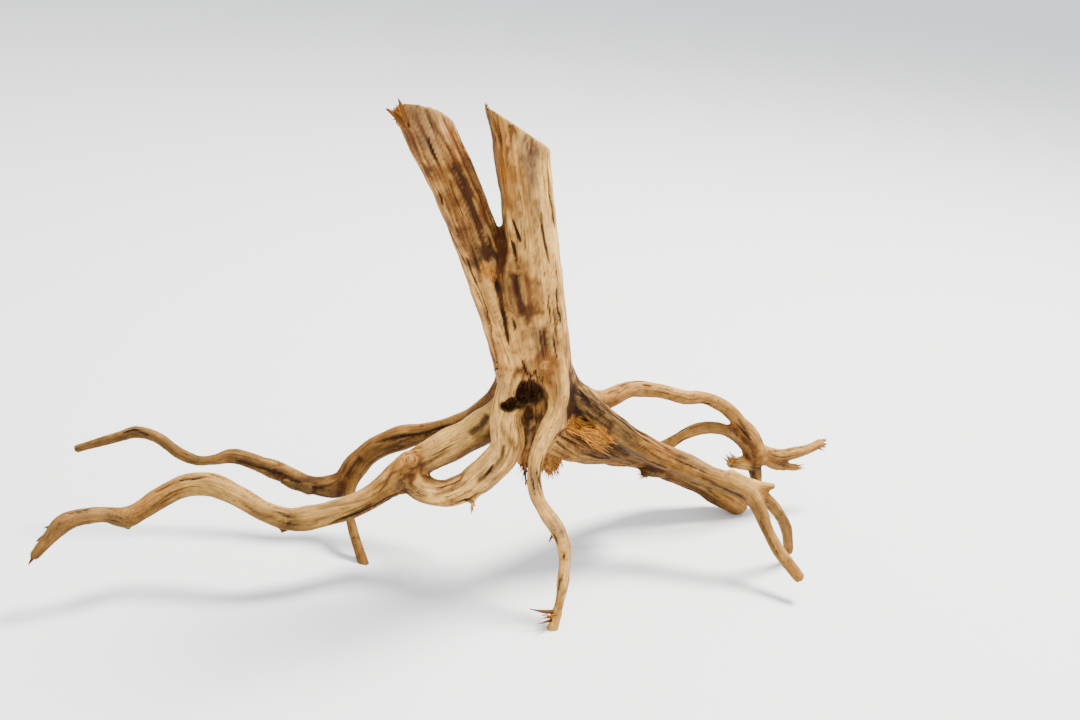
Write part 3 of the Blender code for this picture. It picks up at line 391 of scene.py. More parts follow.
# Coloured places: the colour, half size in centimetres, strength and middle in centimetres. Most were
# placed in the same way.
# Some dark and brown places are painted shade, such as the brown band down the right side of the left stem
# where it lies in shade; the others are stains.
STAINS_AND_SHADE = (
    ("dark", 1.0, 0.9, -7.7, -1.6, 31.4), ("dark", 0.7, 0.85, -7.5, -1.5, 30.6),
    ("brown", 1.4, 1.0, -7.6, -1.6, 31.1), ("brown", 0.9, 0.9, -8.3, -1.1, 31.9),
    ("brown", 0.5, 0.8, -2.7, -1.6, 30.4), ("dark", 0.5, 0.8, 0.5, -2.4, 29.9),
    ("grey", 0.8, 0.8, -0.6, -2.7, 30.2), ("orange", 0.7, 0.85, -8.5, -1.1, 31.6),
    ("grey", 1.2, 0.7, -5.9, -1.9, 30.8), ("grey", 0.8, 0.6, -4.9, -1.6, 29.8),
    ("brown", 1.1, 0.95, -4.5, -1.6, 29.0), ("brown", 1.2, 0.95, -4.0, -1.6, 27.4),
    ("brown", 1.3, 0.95, -3.3, -1.7, 25.6), ("dark", 0.5, 0.6, -3.6, -1.7, 26.6),
    ("brown", 1.3, 0.9, -2.9, -1.7, 23.9), ("dark", 0.8, 0.8, -2.5, -1.8, 23.5),
    ("dark", 0.7, 0.85, -2.2, -2.0, 22.7), ("orange", 0.3, 0.9, -2.5, -2.1, 22.1),
    ("orange", 0.7, 0.3, -5.0, -1.8, 26.8), ("dark", 0.5, 0.9, -2.9, -1.5, 32.0),
    ("dark", 0.35, 0.8, -2.8, -1.3, 31.2), ("dark", 0.35, 0.7, -1.8, -2.6, 31.3),
    ("grey", 0.6, 0.7, -0.7, -2.7, 30.6), ("dark", 0.4, 0.6, 0.3, -2.6, 29.9),
    ("orange", 1.0, 0.7, -2.2, -2.0, 29.7), ("orange", 0.9, 0.6, -1.8, -2.0, 27.5),
    ("grey", 0.6, 0.65, -0.0, -2.8, 29.0), ("grey", 0.6, 0.65, 0.2, -2.9, 27.2),
    ("grey", 0.5, 0.6, 0.5, -3.0, 25.7), ("cream", 1.0, 0.5, 0.9, -3.0, 23.1),
    ("dark", 0.45, 0.9, -1.0, -2.9, 21.4), ("dark", 0.4, 0.9, -0.6, -2.9, 20.5),
    ("brown", 1.0, 0.9, -0.9, -2.9, 21.0), ("brown", 0.7, 0.8, -28.4, -1.2, 5.9),
    ("grey", 0.9, 0.7, -25.6, -0.3, 6.3), ("orange", 1.2, 0.6, -24.8, -0.2, 6.0),
    ("brown", 0.5, 0.7, -24.0, 0.1, 5.8), ("brown", 0.7, 0.6, -17.6, -0.3, 6.0),
    ("orange", 1.2, 0.5, -20.6, 0.8, 7.2), ("orange", 1.2, 0.5, -9.5, -0.4, 5.4),
    ("brown", 1.2, 0.4, 9.6, -0.3, 8.0), ("brown", 1.2, 0.5, 12.6, 2.6, 5.2),
    ("brown", 1.7, 0.8, -27.6, -0.8, 5.9), ("brown", 0.9, 0.7, -22.8, 0.6, 5.9),
    ("brown", 1.0, 0.5, -13.0, -0.8, 4.6), ("orange", 1.4, 0.7, -16.0, -0.6, 5.6),
    ("brown", 0.6, 0.9, -24.3, -0.2, 5.3), ("dark", 0.45, 0.8, -24.2, 0.0, 6.4),
    ("brown", 0.6, 0.8, -14.6, -1.2, 4.6), ("grey", 1.0, 0.8, -26.6, -0.7, 6.6),
    ("orange", 1.8, 0.8, -26.0, -0.5, 6.0), ("brown", 2.0, 0.6, -21.5, 9.3, 6.3),
    ("brown", 1.6, 0.6, -27.0, 10.6, 6.2), ("cream", 1.1, 0.7, 1.2, -2.2, 26.5),
    ("cream", 1.1, 0.7, 1.8, -2.0, 23.2), ("cream", 0.9, 0.6, 0.9, -2.2, 28.8),
    ("cream", 1.2, 0.7, -3.2, -1.8, 7.2), ("orange", 1.4, 0.6, 11.5, -0.9, 8.6),
    ("dark", 0.3, 0.8, 2.2, -2.7, 19.1), ("grey", 0.5, 0.6, 1.1, -2.7, 17.7),
    ("brown", 0.5, 0.7, 1.5, -2.7, 17.0), ("brown", 0.6, 0.7, 1.6, -2.6, 16.0),
    ("orange", 0.6, 0.5, 2.1, -2.7, 15.5), ("orange", 0.9, 0.45, -1.4, -1.3, 16.2),
    ("dark", 1.0, 0.85, -1.6, -0.6, 11.2), ("dark", 0.7, 0.8, -2.0, -0.6, 10.3),
    ("brown", 0.8, 0.6, -2.8, -0.4, 9.5), ("grey", 0.6, 0.6, -4.8, 0.2, 8.4),
    ("cream", 1.2, 0.8, -4.0, 0.3, 9.8), ("cream", 1.0, 0.7, -2.4, 0.1, 11.1),
    ("grey", 0.4, 0.7, -6.7, 0.0, 6.6), ("grey", 0.5, 0.6, -6.1, -0.2, 6.2),
    ("brown", 0.4, 0.85, -5.9, 0.4, 8.1), ("brown", 0.35, 0.85, -6.4, 0.1, 7.1),
    ("orange", 0.9, 0.7, -6.7, 1.2, 8.3), ("grey", 0.6, 0.6, -1.8, -2.9, 8.6),
    ("dark", 0.5, 0.8, -14.8, -1.2, 5.0), ("dark", 0.4, 0.8, -14.1, -1.0, 5.5),
    ("brown", 0.6, 0.6, -15.4, -1.0, 5.4), ("dark", 0.4, 0.9, -24.4, -0.4, 5.6),
    ("brown", 0.6, 0.7, -25.0, -0.4, 6.2), ("grey", 0.6, 0.7, -26.4, -0.5, 6.5),
    ("brown", 0.8, 0.6, -27.9, -1.1, 6.3), ("brown", 0.8, 0.7, -28.8, -1.5, 5.4),
    ("orange", 0.4, 0.8, -29.6, -1.6, 4.4), ("orange", 0.9, 0.6, -22.2, 1.0, 6.8),
    ("orange", 0.8, 0.5, -23.7, 0.5, 6.1), ("cream", 1.4, 0.6, -18.8, 0.6, 7.5),
    ("cream", 1.2, 0.6, -16.4, -0.5, 6.3), ("cream", 1.4, 0.6, -11.6, -0.6, 5.6),
    ("brown", 0.7, 0.7, -26.2, 10.3, 6.3), ("dark", 0.4, 0.7, -23.2, 9.7, 7.1),
    ("dark", 0.3, 0.7, -19.3, 8.7, 5.2), ("brown", 0.6, 0.7, -16.6, 7.9, 5.5),
    ("dark", 0.5, 0.85, -13.7, 6.5, 4.4), ("dark", 0.5, 0.7, -12.0, 5.9, 3.9),
    ("brown", 1.0, 0.7, -10.7, 5.6, 4.2), ("orange", 0.5, 0.7, -9.5, 5.6, 5.4),
    ("orange", 0.4, 0.8, -8.7, 1.8, 0.5), ("dark", 1.2, 0.95, 4.6, -1.0, 12.7),
    ("dark", 1.2, 0.9, 6.2, -0.8, 11.6), ("dark", 0.8, 0.8, 8.1, -0.8, 10.5),
    ("cream", 0.8, 0.6, 17.1, -3.0, 7.1), ("grey", 0.5, 0.7, 13.8, -1.4, 7.9),
    ("grey", 0.5, 0.8, 9.4, -0.3, 8.1), ("brown", 1.2, 0.6, 13.8, 4.6, 4.1),
    ("dark", 0.4, 0.8, 12.9, 4.4, 4.3), ("orange", 0.6, 0.8, 19.5, 4.3, 2.0),
    ("dark", 0.7, 0.6, 17.7, 4.8, 2.1), ("cream", 0.7, 0.8, 19.9, 5.2, 4.3),
    ("dark", 0.5, 0.8, 22.0, 4.9, 3.3), ("brown", 0.6, 0.7, 20.8, 4.6, 5.9),
    ("dark", 0.4, 0.6, 25.9, 5.7, 5.2), ("orange", 0.4, 0.7, 27.4, 5.5, 5.4),
    ("grey", 0.4, 0.8, 1.0, -4.6, 8.8), ("grey", 0.4, 0.8, 2.1, -6.2, 6.0),
    ("cream", 1.0, 0.7, 1.6, -3.7, 11.4), ("brown", 0.4, 0.7, 2.1, -7.7, 2.4),
    ("orange", 0.4, 0.8, 1.9, -8.1, 1.4), ("brown", 0.7, 0.6, 17.6, -4.8, 4.8),
    ("orange", 0.4, 0.8, 19.2, -7.7, 2.1), ("dark", 0.6, 0.85, 1.1, -1.6, 10.8),
    ("orange", 0.6, 0.7, 0.8, -1.4, 8.5), ("orange", 0.7, 0.85, 3.3, -0.9, 7.9),
)
# Where torn fibres stand out: the middle in centimetres, the direction, the half spread in
# centimetres, the count, the length in centimetres and the colour.
FIBRE_ZONES = (
    ((0.9, -2.4, 14.9), (0.1, -0.3, -0.9), 0.7, 36, 0.6, HOLLOW_SHADE),
    ((-0.4, -2.5, 13.7), (0.3, -0.4, -0.8), 0.5, 14, 0.4, HOLLOW_SHADE),
    ((0.9, -1.4, 13.7), (-0.4, -1.0, -0.4), 0.8, 90, 0.6, HOLLOW_SHADE),
    ((5.0, -1.1, 10.6), (0.85, 0.05, -0.5), 0.9, 110, 1.4, AMBER),
    ((6.6, -0.5, 9.6), (0.85, 0.0, -0.5), 0.8, 80, 1.2, AMBER),
    ((4.5, -1.2, 10.7), (-0.7, -0.5, 0.4), 0.6, 40, 0.7, AMBER),
    ((1.3, -1.2, 7.9), (0.0, -0.2, -1.0), 0.7, 40, 0.8, BROWN),
    ((3.4, -0.7, 7.7), (0.2, -0.2, -1.0), 0.9, 50, 0.8, ORANGE),
    ((-29.4, -1.2, 4.4), (-0.4, -0.3, -0.9), 0.4, 9, 0.5, BROWN),
    ((1.7, -8.2, 0.9), (-0.95, -0.3, 0.0), 0.4, 20, 1.1, ORANGE),
    ((27.9, 5.8, 5.2), (0.9, 0.0, -0.1), 0.4, 24, 0.6, ORANGE),
    ((25.8, 5.5, 3.4), (1.0, 0.0, 0.0), 0.4, 16, 0.7, CREAM),
    ((20.2, 5.5, 4.3), (-0.7, 0.0, 0.6), 0.5, 30, 0.7, ORANGE),
    ((12.7, 4.6, 4.3), (-0.9, -0.2, -0.1), 0.4, 24, 0.7, BROWN),
    ((-8.4, -0.9, 31.6), (-0.6, -0.2, 0.5), 0.5, 14, 0.35, BROWN),
    ((-3.0, -1.2, 32.0), (-0.3, -0.2, 0.9), 0.3, 8, 0.3, BROWN),
    ((-2.0, -2.1, 22.2), (0.2, -0.3, -0.9), 0.5, 16, 0.6, ORANGE),
    ((-13.9, 6.7, 4.3), (-0.9, 0.0, 0.2), 0.4, 14, 0.4, BROWN),
    ((-0.9, -0.8, 15.0), (-0.8, -0.5, 0.2), 0.9, 14, 0.25, BROWN),
    ((-2.5, -2.3, 5.8), (0.1, -0.3, -0.9), 0.4, 10, 0.4, TAN),
    ((14.3, 4.9, 10.6), (0.5, -0.2, 0.8), 4.0, 10, 0.2, BROWN),
)

# A stain or patch of painted shade reaches this many times its half size and this many times further along
# the grain, and fades out between two shares of that reach.
STAIN_AND_SHADE_SPREAD = 1.4
STAIN_AND_SHADE_STRETCH = 1.7
STAIN_AND_SHADE_EDGE = (0.6, 1.1)

# Random cracks: how many, the least and most of their half lengths in centimetres and of their half
# widths in millimetres, and how far they lean and bend to a side.
RANDOM_CRACKS = 110
RANDOM_CRACK_LENGTHS = (0.3, 1.6)
RANDOM_CRACK_WIDTHS = (0.35, 0.6)
RANDOM_CRACK_LEAN = 0.12
RANDOM_CRACK_BEND = 0.06
# The limb's radius in metres at and above which a random crack has its full length.
FULL_CRACK_RADIUS = 0.008
# A crack counts up to this many millimetres from its edge. Its points are looked for this many
# metres past its length, and it is this many metres deep.
CRACK_REACH = 4.0
CRACK_MARGIN = 0.006
CRACK_DEPTH = 0.0006

# The torn patch on the right: centre and half sizes in centimetres, and its tilt in degrees.
TORN_PATCH = ((5.9, -0.9, 10.1), (2.2, 1.0, 0.75), 30)
TORN_EDGE = (0.8, 1.1)
# How rotten each bite of the hollow is, which sets both its rough relief and the painted shade inside it,
# and where that fades out round it.
ROT_AND_SHADE_SHARES = {"hollow": 1.0, "hollow_wedge": 1.0, "hollow_slot": 0.55}
ROT_AND_SHADE_EDGE = (1.0, 1.25)
# How far from a saw cut's point its face can reach, how near its plane and how square to it a point
# has to be to count as sawn. The first two are in metres.
SAWN_REACH = 0.035
SAWN_HEIGHTS = (-0.0012, -0.0003)
SAWN_FACING = (0.6, 0.9)
# How much the furrows' width wanders and over what length in metres, and how dark their painted shade is:
# the least, and how much more for each centimetre of depth.
FURROW_WANDER = 0.35
FURROW_WANDER_SIZE = 0.006
FURROW_DARKNESS = 0.45
DEPTH_DARKNESS = 5

# Noise along the grain: its size in metres twice across and once along, its salt and its layers.
RIDGES = ((0.0045, 0.0045, 0.05), 1, 3)
FINE_RIDGES = ((0.0022, 0.0022, 0.022), 2, 3)
GROOVES = ((0.0065, 0.0065, 0.055), 31, 2)
TORN_RELIEF = ((0.0022, 0.0022, 0.018), 5, 3)
TORN_STREAKS = ((0.0016, 0.0016, 0.02), 15, 3)
CRACK_WANDER = ((0.003, 0.003, 0.02), 8, 2)
STREAKS = ((0.0035, 0.0035, 0.06), 11, 3)
BANDS = ((0.008, 0.008, 0.08), 13, 2)
BLOTCHES = ((0.009, 0.009, 0.03), 12, 3)
# Noise that is alike in all directions, or stretched upward: its size in metres, salt and layers.
WAVES = (0.014, 3, 2)
GROOVED_PLACES = (0.02, 32, 2)
ROT_RELIEF = ((0.0028, 0.0028, 0.006), 4, 3)
ROT_STREAKS = ((0.0015, 0.0015, 0.005), 16, 3)
PATCHES = (0.03, 10, 3)
MOTTLES = (0.007, 17, 3)
SPECKS = (0.0022, 18, 1)

# Heights in metres of the relief.
RIDGE_HEIGHT = 0.00050
FINE_RIDGE_HEIGHT = 0.00028
WAVE_HEIGHT = 0.0006
GROOVE_DEPTH = 0.0010
GROOVE_SHARPNESS = 7
ROT_HEIGHT = 0.0020
TORN_HEIGHT = 0.0022
# The limb's radius in metres at and above which it has all of its relief, and the least share.
FULL_RELIEF_RADIUS = 0.011
LEAST_RELIEF = 0.4
SAWN_CALM = 0.85

# How much each pattern adds to a colour's share of the wood, beside what the limb's tone gives.
# The up share is painted light and shade: more cream where a face turns up, more brown where it turns
# down.
PATTERN_SHARES = {
    "cream": {"up": 0.2, "patch": 0.55, "streak": 0.2, "mottle": 0.3, "all": -0.1},
    "orange": {"blotch": 0.8, "patch": 0.3},
    "brown": {"band": 0.5, "up": -0.3, "patch": -0.3, "all": -0.14},
}
# How hollow places and ridges are found for their painted shade and highlight: rounds of smoothing, and
# the dip in metres that counts in full.
DIPS = ((4, 0.0002), (40, 0.0012))

# Fibres: the widths and the sink are in metres, the lengths are shares of their zone's length, the
# tones shares of their colour, and the bend, scatter and lift turn them off their zone's direction.
STRAND_SIDES = 5
STRAND_RINGS = 6
STRAND_FLATNESS = 0.6
# The share of its width that a strand has lost at its tip.
STRAND_TAPER = 0.85
STRAND_BEND = 0.25
STRAND_WIDTHS = (0.0006, 0.0017)
STRAND_LENGTHS = (0.4, 1.1)
STRAND_TONES = (0.6, 1.7)
STRAND_SINK = 0.0006
STRAND_SCATTER = 0.22
STRAND_LIFT = 0.25
GRAIN_LAYERS = ("grain_a", "grain_b", "grain_c")

# The material's patterns along the grain: cells in a metre twice across and once along, and detail.
SHADER_GRAIN = {
    "fibre": ((700, 700, 22), 4.0),
    "hair": ((2100, 2100, 80), 2.0),
    "blotches": ((240, 240, 110), 5.0),
    "checks": ((430, 430, 17), 2.0),
    "pores": ((1300, 1300, 380), 2.0),
}
# How each pattern shades the wood: its low and its high value, and the brightness at each.
SHADES = {
    "fibre": (0.36, 0.64, 1.16, 0.80),
    "hair": (0.34, 0.66, 1.10, 0.84),
    "blotches": (0.35, 0.65, 1.15, 0.80),
    "checks": (0.645, 0.69, 1.0, 0.30),
    "pores": (0.64, 0.72, 1.0, 0.45),
}
# How much each pattern raises the finest relief, in shares of its depth in metres.
BUMP_DEPTH = 0.0009
FIBRE_SHARE = 0.9
HAIR_SHARE = 0.35
PORE_SHARE = 0.3
TORN_SHARE = 1.6
SAWN_SHARE = 0.35
SPECULAR_LEVEL = 0.08
NOISE_ROUGHNESS = 0.55
# Where the mix node keeps its two colours and their result.
MIXED_COLOURS = (6, 7)
MIX_RESULT = 2

FLOOR_HALF_SIZE = 6.0
FLOOR_COLOUR = (0.82, 0.82, 0.81)
FLOOR_ROUGHNESS = 0.6
AIR_COLOUR = (0.92, 0.95, 1.0, 1.0)
AIR_STRENGTH = 1.5
# Each light's direction from the root, distance and size in metres, watts and colour.
LIGHTS = {
    "key": ((0.45, 0.18, 1.0), 2.2, 0.8, 190, (1.0, 0.98, 0.94)),
    "front_fill": ((-0.2, -1.0, 0.35), 2.4, 1.6, 25, (1.0, 0.98, 0.95)),
}
LIGHT_AIM = (0, 0, 0.1)
# The camera of the photo: its right, down and ahead directions, and its place in the limbs' frame.
CAMERA_RIGHT = (0.95396, -0.28920, 0.07958)
CAMERA_DOWN = (-0.03015, -0.35644, -0.93383)
CAMERA_AHEAD = (0.29843, 0.88843, -0.34875)
CAMERA_PLACE = (-0.24291, -0.78571, 0.46113)
SENSOR_WIDTH = 36
# The lens in widths of the picture.
LENS_SHARE = 1337.45 / 1080
SEEN_DISTANCE = 30


def smooth_curve(points, step):
    """Rows read at an even step from the smooth curve that runs through the points."""
    rows = np.array(points, float) * CM
    rows = np.vstack([2 * rows[0] - rows[1], rows, 2 * rows[-1] - rows[-2]])
    curve = []
    for before, start, end, after in zip(rows[:-3], rows[1:-2], rows[2:-1], rows[3:]):
        count = max(2, int(np.linalg.norm(end[:3] - start[:3]) / step))
        for t in np.arange(count) / count:
            bend = 2 * before - 5 * start + 4 * end - after
            twist = 3 * start - before - 3 * end + after
            curve.append(0.5 * (2 * start + (end - before) * t + bend * t * t + twist * t ** 3))
    curve.append(rows[-2])
    return np.array(curve)


def side_vectors(places):
    """Two directions across the curve at each place, carried along it without spin."""
    ahead = np.gradient(places, axis=0)
    ahead /= np.linalg.norm(ahead, axis=1)[:, None]
    first = np.cross(ahead[0], RING_HINT)
    sides = []
    for direction in ahead:
        first = first - direction * first.dot(direction)
        first /= np.linalg.norm(first)
        sides.append((first, np.cross(direction, first)))
    return ahead, np.array(sides)


def flutes(draw, lengths, angles):
    """How far the skin stands off a round tube, as a share of the radius: the part's own relief."""
    relief = np.zeros((len(lengths), len(angles)))
    for lobes in FLUTE_LOBES:
        phase = draw.uniform(0, 2 * math.pi)
        spin = draw.uniform(-FLUTE_SPIN, FLUTE_SPIN)
        wave = np.cos(lobes * (angles[None, :] + phase) + spin * lengths[:, None])
        relief += FLUTE_DEPTH * draw.uniform(0.5, 1.1) * wave * (3 / (lobes + 2))
    for length in SWELL_LENGTHS:
        height = SWELL_DEPTH * draw.uniform(0.3, 1)
        relief += height * np.sin(2 * math.pi * lengths[:, None] / length + draw.uniform(0, 6))
    return relief


def limb(points, draw, relief_share):
    """Corners and faces of one fluted limb with rounded ends, with its share of the flutes' relief."""
    curve = smooth_curve(points, RING_STEP)
    places, radii = curve[:, :3], curve[:, 3]
    ahead, sides = side_vectors(places)
    lengths = np.append(0, np.cumsum(np.linalg.norm(np.diff(places, axis=0), axis=1)))
    angles = np.linspace(0, 2 * math.pi, RING_POINTS, endpoint=False)
    reach = radii[:, None] * (1 + relief_share * flutes(draw, lengths, angles))
    outward = np.stack([np.cos(angles), np.sin(angles)], axis=1) @ sides
    rings = list(places[:, None] + reach[:, :, None] * outward)
    first, last = rings[0], rings[-1]
    for share, rise in DOME:
        rings.insert(0, places[0] + share * (first - places[0]) - ahead[0] * radii[0] * rise)
        rings.append(places[-1] + share * (last - places[-1]) + ahead[-1] * radii[-1] * rise)
    start_pole = places[0] - ahead[0] * radii[0] * DOME_RISE
    end_pole = places[-1] + ahead[-1] * radii[-1] * DOME_RISE
    return np.vstack(rings + [start_pole, end_pole]), tube_faces(len(rings))


def band_faces(ring_count, sides):
    """The faces between the rings of a stack."""
    faces = []
    for first in range(0, (ring_count - 1) * sides, sides):
        for side in range(sides):
            following = first + (side + 1) % sides
            faces.append((first + side, following, following + sides, first + side + sides))
    return faces


def tube_faces(ring_count):
    """The sides of a stack of rings, and the fans that close it onto the two poles after them."""
    faces = band_faces(ring_count, RING_POINTS)
    last = (ring_count - 1) * RING_POINTS
    start_pole = ring_count * RING_POINTS
    for point in range(RING_POINTS):
        following = (point + 1) % RING_POINTS
        faces.append((start_pole, following, point))
        faces.append((start_pole + 1, last + point, last + following))
    return faces


def spikes(rows):
    """Each torn piece as a flattened four-sided spike, its foot sunk in the wood."""
    corners, faces = [], []
    for x, y, z, tip_x, tip_y, tip_z, width in rows:
        foot, tip = Vector((x, y, z)) * CM, Vector((tip_x, tip_y, tip_z)) * CM
        way = (tip - foot).normalized()
        flat = way.cross(Vector(SPIKE_HINT)).normalized() * width * CM / 2
        thick = way.cross(flat).normalized() * width * CM * SPIKE_FLATNESS / 2
        first = len(corners)
        corners += [foot + flat, foot + thick, foot - flat, foot - thick, tip]
        faces.append((first + 3, first + 2, first + 1, first))
        for side in range(4):
            faces.append((first + side, first + (side + 1) % 4, first + 4))
    return np.array([corner[:] for corner in corners]), faces


def mesh_object(name, corners, faces):
    """A new object with the mesh of the corners and faces."""
    mesh = bpy.data.meshes.new(name)
    mesh.from_pydata([tuple(corner) for corner in corners], [], faces)
    mesh.update()
    obj = bpy.data.objects.new(name, mesh)
    bpy.context.collection.objects.link(obj)
    return obj


def lump(name, centre, radii, tilt, draw):
    """A rough egg, with a ragged skin."""
    corners, faces = [], []
    for row in range(1, LUMP_ROWS):
        lift = math.pi * row / LUMP_ROWS
        for column in range(LUMP_COLUMNS):
            turn = 2 * math.pi * column / LUMP_COLUMNS
            rough = 1 + draw.uniform(-LUMP_ROUGHNESS, LUMP_ROUGHNESS)
            level = rough * math.sin(lift)
            corners.append((level * math.cos(turn), level * math.sin(turn), rough * math.cos(lift)))
    top, bottom = len(corners), len(corners) + 1
    corners += [(0, 0, 1), (0, 0, -1)]
    last = (LUMP_ROWS - 2) * LUMP_COLUMNS
    for column in range(LUMP_COLUMNS):
        following = (column + 1) % LUMP_COLUMNS
        faces.append((top, column, following))
        faces.append((bottom, last + following, last + column))
        for here in range(0, last, LUMP_COLUMNS):
            there = here + LUMP_COLUMNS
            faces.append((here + column, there + column, there + following, here + following))
    lean = Matrix.Rotation(math.radians(tilt), 3, "Y")
    half_size = Matrix.Diagonal(Vector(radii) * CM)
    placed = [Vector(centre) * CM + lean @ half_size @ Vector(corner) for corner in corners]
    return mesh_object(name, placed, faces)


def slab(name, point, normal):
    """A square block whose near face passes through the point, square to the normal."""
    half = CUTTER_SIZE * CM / 2
    corners = [(x, y, z) for x in (-half, half) for y in (-half, half) for z in (0, 2 * half)]
    faces = [(0, 1, 3, 2), (4, 6, 7, 5), (0, 4, 5, 1), (2, 3, 7, 6), (0, 2, 6, 4), (1, 5, 7, 3)]
    turn = Vector((0, 0, 1)).rotation_difference(Vector(normal)).to_matrix()
    placed = [turn @ Vector(corner) + Vector(point) * CM for corner in corners]
    return mesh_object(name, placed, faces)


def noise(places, salt):
    """Smooth noise from -1 to 1 at each row of places, one swing per unit."""
    cell = np.floor(places).astype(np.int64)
    part = places - cell
    part = part * part * (3 - 2 * part)
    total = np.zeros(len(places))
    for corner in range(8):
        step = np.array([corner & 1, corner >> 1 & 1, corner >> 2 & 1])
        x, y, z = (cell + step).T
        mixed = (x * 73856093 ^ y * 19349663 ^ z * 83492791 ^ salt * 40503) & 0xFFFFFFFF
        mixed = (mixed ^ mixed >> 15) * 2246822519 & 0xFFFFFFFF
        mixed = (mixed ^ mixed >> 13) * 3266489917 & 0xFFFFFFFF
        value = (mixed >> 8 & 0xFFFF) / 32767.5 - 1
        total += value * np.prod(np.where(step, part, 1 - part), axis=1)
    return total


def layered(places, salt, layers):
    """Noise with finer layers of half the height on top."""
    total = np.zeros(len(places))
    for layer in range(layers):
        total += noise(places * 2 ** layer, salt + layer * 7) / 2 ** layer
    return total / (2 - 2 ** (1 - layers))


def ramp(value, low, high):
    """0 at low, 1 at high and smooth between."""
    t = np.clip((value - low) / (high - low), 0, 1)
    return t * t * (3 - 2 * t)


def build_skin():
    """All the limbs and torn pieces under one fine skin, with the hollow and the saw cuts."""
    pieces = [
        limb(points, np.random.default_rng(SEED + number), CALM.get(name, 1.0))
        for number, (name, points) in enumerate(LIMBS.items())
    ]
    pieces += [spikes(CHIPS), spikes(SPLINTERS)]
    corners, faces = np.empty((0, 3)), []
    for piece_corners, piece_faces in pieces:
        faces += [tuple(index + len(corners) for index in face) for face in piece_faces]
        corners = np.vstack([corners, piece_corners])
    rough = mesh_object("rough_wood", corners, faces)
    draw = np.random.default_rng(SEED)
    helpers = [lump(name, *bite, draw) for name, bite in HOLLOW_BITES.items()]
    helpers += [
        slab("left_saw_cut", LEFT_CUT_POINT, LEFT_CUT_NORMAL),
        slab("right_saw_cut", RIGHT_CUT_POINT, RIGHT_CUT_NORMAL),
    ]
    add_skin(rough, "grow_together")
    for helper in helpers:
        boolean = rough.modifiers.new(helper.name, "BOOLEAN")
        boolean.object = helper
        boolean.operation = "DIFFERENCE"
        boolean.solver = "MANIFOLD"
    add_skin(rough, "heal")
    bpy.context.view_layer.update()
    graph = bpy.context.evaluated_depsgraph_get()
    mesh = bpy.data.meshes.new_from_object(rough.evaluated_get(graph))
    for helper in helpers + [rough]:
        bpy.data.objects.remove(helper)
    skin = bpy.data.objects.new("root_wood", mesh)
    bpy.context.collection.objects.link(skin)
    return skin


def add_skin(obj, name):
    """Wraps the object in one even skin."""
    skin = obj.modifiers.new(name, "REMESH")
    skin.mode = "VOXEL"
    skin.voxel_size = SKIN_CELL
    skin.use_smooth_shade = True


class Grain:
    """Where each point of the skin lies along and across the limbs round it, as if they were straight."""

    def __init__(self, points):
        count = len(points)
        self.closeness = np.full((len(LIMBS), count), FAR)
        self.straight = np.zeros((SLOT_COUNT, count, 3))
        self.radius = np.zeros(count)
        self.ahead = np.zeros((count, 3))
        best = np.full((SLOT_COUNT, count), FAR)
        following = np.full((SLOT_COUNT, count), FAR)
        nearest = np.full(count, FAR)
        for number, (name, rows) in enumerate(LIMBS.items()):
            curve = smooth_curve(rows, PART_RING_STEP)
            places, radii = curve[:, :3], curve[:, 3]
            ahead, sides = side_vectors(places)
            lengths = np.append(0, np.cumsum(np.linalg.norm(np.diff(places, axis=0), axis=1)))
            margin = LIMB_REACH * radii.max()
            inside = (points > places.min(axis=0) - margin) & (points < places.max(axis=0) + margin)
            near = np.flatnonzero(inside.all(axis=1))
            own = points[near]
            flat = (own ** 2).sum(1)[:, None] - 2 * own @ places.T + (places ** 2).sum(1)[None]
            share = np.sqrt(np.maximum(flat, 0)) / radii[None]
            spot = share.argmin(axis=1)
            close = share[np.arange(len(near)), spot]
            self.closeness[number, near] = close
            offset = own - places[spot]
            along = lengths[spot] + (offset * ahead[spot]).sum(1) + LIMB_SHIFT * number
            across = [(offset * sides[spot, side]).sum(1) for side in (0, 1)]
            laid = np.column_stack([*across, along])
            slot = SLOTS.get(name, 0)
            better = close < best[slot, near]
            second = np.minimum(following[slot, near], close)
            following[slot, near] = np.where(better, best[slot, near], second)
            best[slot, near] = np.minimum(best[slot, near], close)
            self.straight[slot, near[better]] = laid[better]
            first = close < nearest[near]
            nearest[near[first]] = close[first]
            self.radius[near[first]] = radii[spot[first]]
            self.ahead[near[first]] = ahead[spot[first]]
        weights = np.exp(-SLOT_SHARPNESS * (best - best.min(axis=0)))
        weights *= np.clip((following - best) / SLOT_FADE, 0.001, 1)
        self.weights = weights / weights.sum(axis=0)

    def noise(self, scale, salt, layers):
        """Noise drawn out along the limbs, blended where they meet."""
        total = np.zeros(len(self.radius))
        for straight, weight in zip(self.straight, self.weights):
            used = weight > LEAST_WEIGHT
            total[used] += weight[used] * layered(straight[used] / scale, salt, layers)
        return total

    def shares(self):
        """How far each limb's own colour counts at each point."""
        weights = np.exp(-TONE_SHARPNESS * (self.closeness - self.closeness.min(axis=0)))
        return weights / weights.sum(axis=0)


def neighbours(mesh):
    """The two points of each edge."""
    edges = np.empty(len(mesh.edges) * 2, np.int32)
    mesh.edges.foreach_get("vertices", edges)
    return edges.reshape(-1, 2)


def smoothed(values, edges, rounds):
    """The values, each round moved to the mean of the neighbours."""
    count = np.bincount(edges.ravel(), minlength=len(values))
    values = values.copy()
    for _ in range(rounds):
        total = np.column_stack([
            np.bincount(edges[:, 0], values[edges[:, 1], axis], len(values))
            + np.bincount(edges[:, 1], values[edges[:, 0], axis], len(values))
            for axis in range(values.shape[1])
        ])
        values = 0.5 * values + 0.5 * total / np.maximum(count, 1)[:, None]
    return values


def read_points(mesh):
    points = np.empty(len(mesh.vertices) * 3, np.float32)
    mesh.vertices.foreach_get("co", points)
    return points.reshape(-1, 3).astype(float)


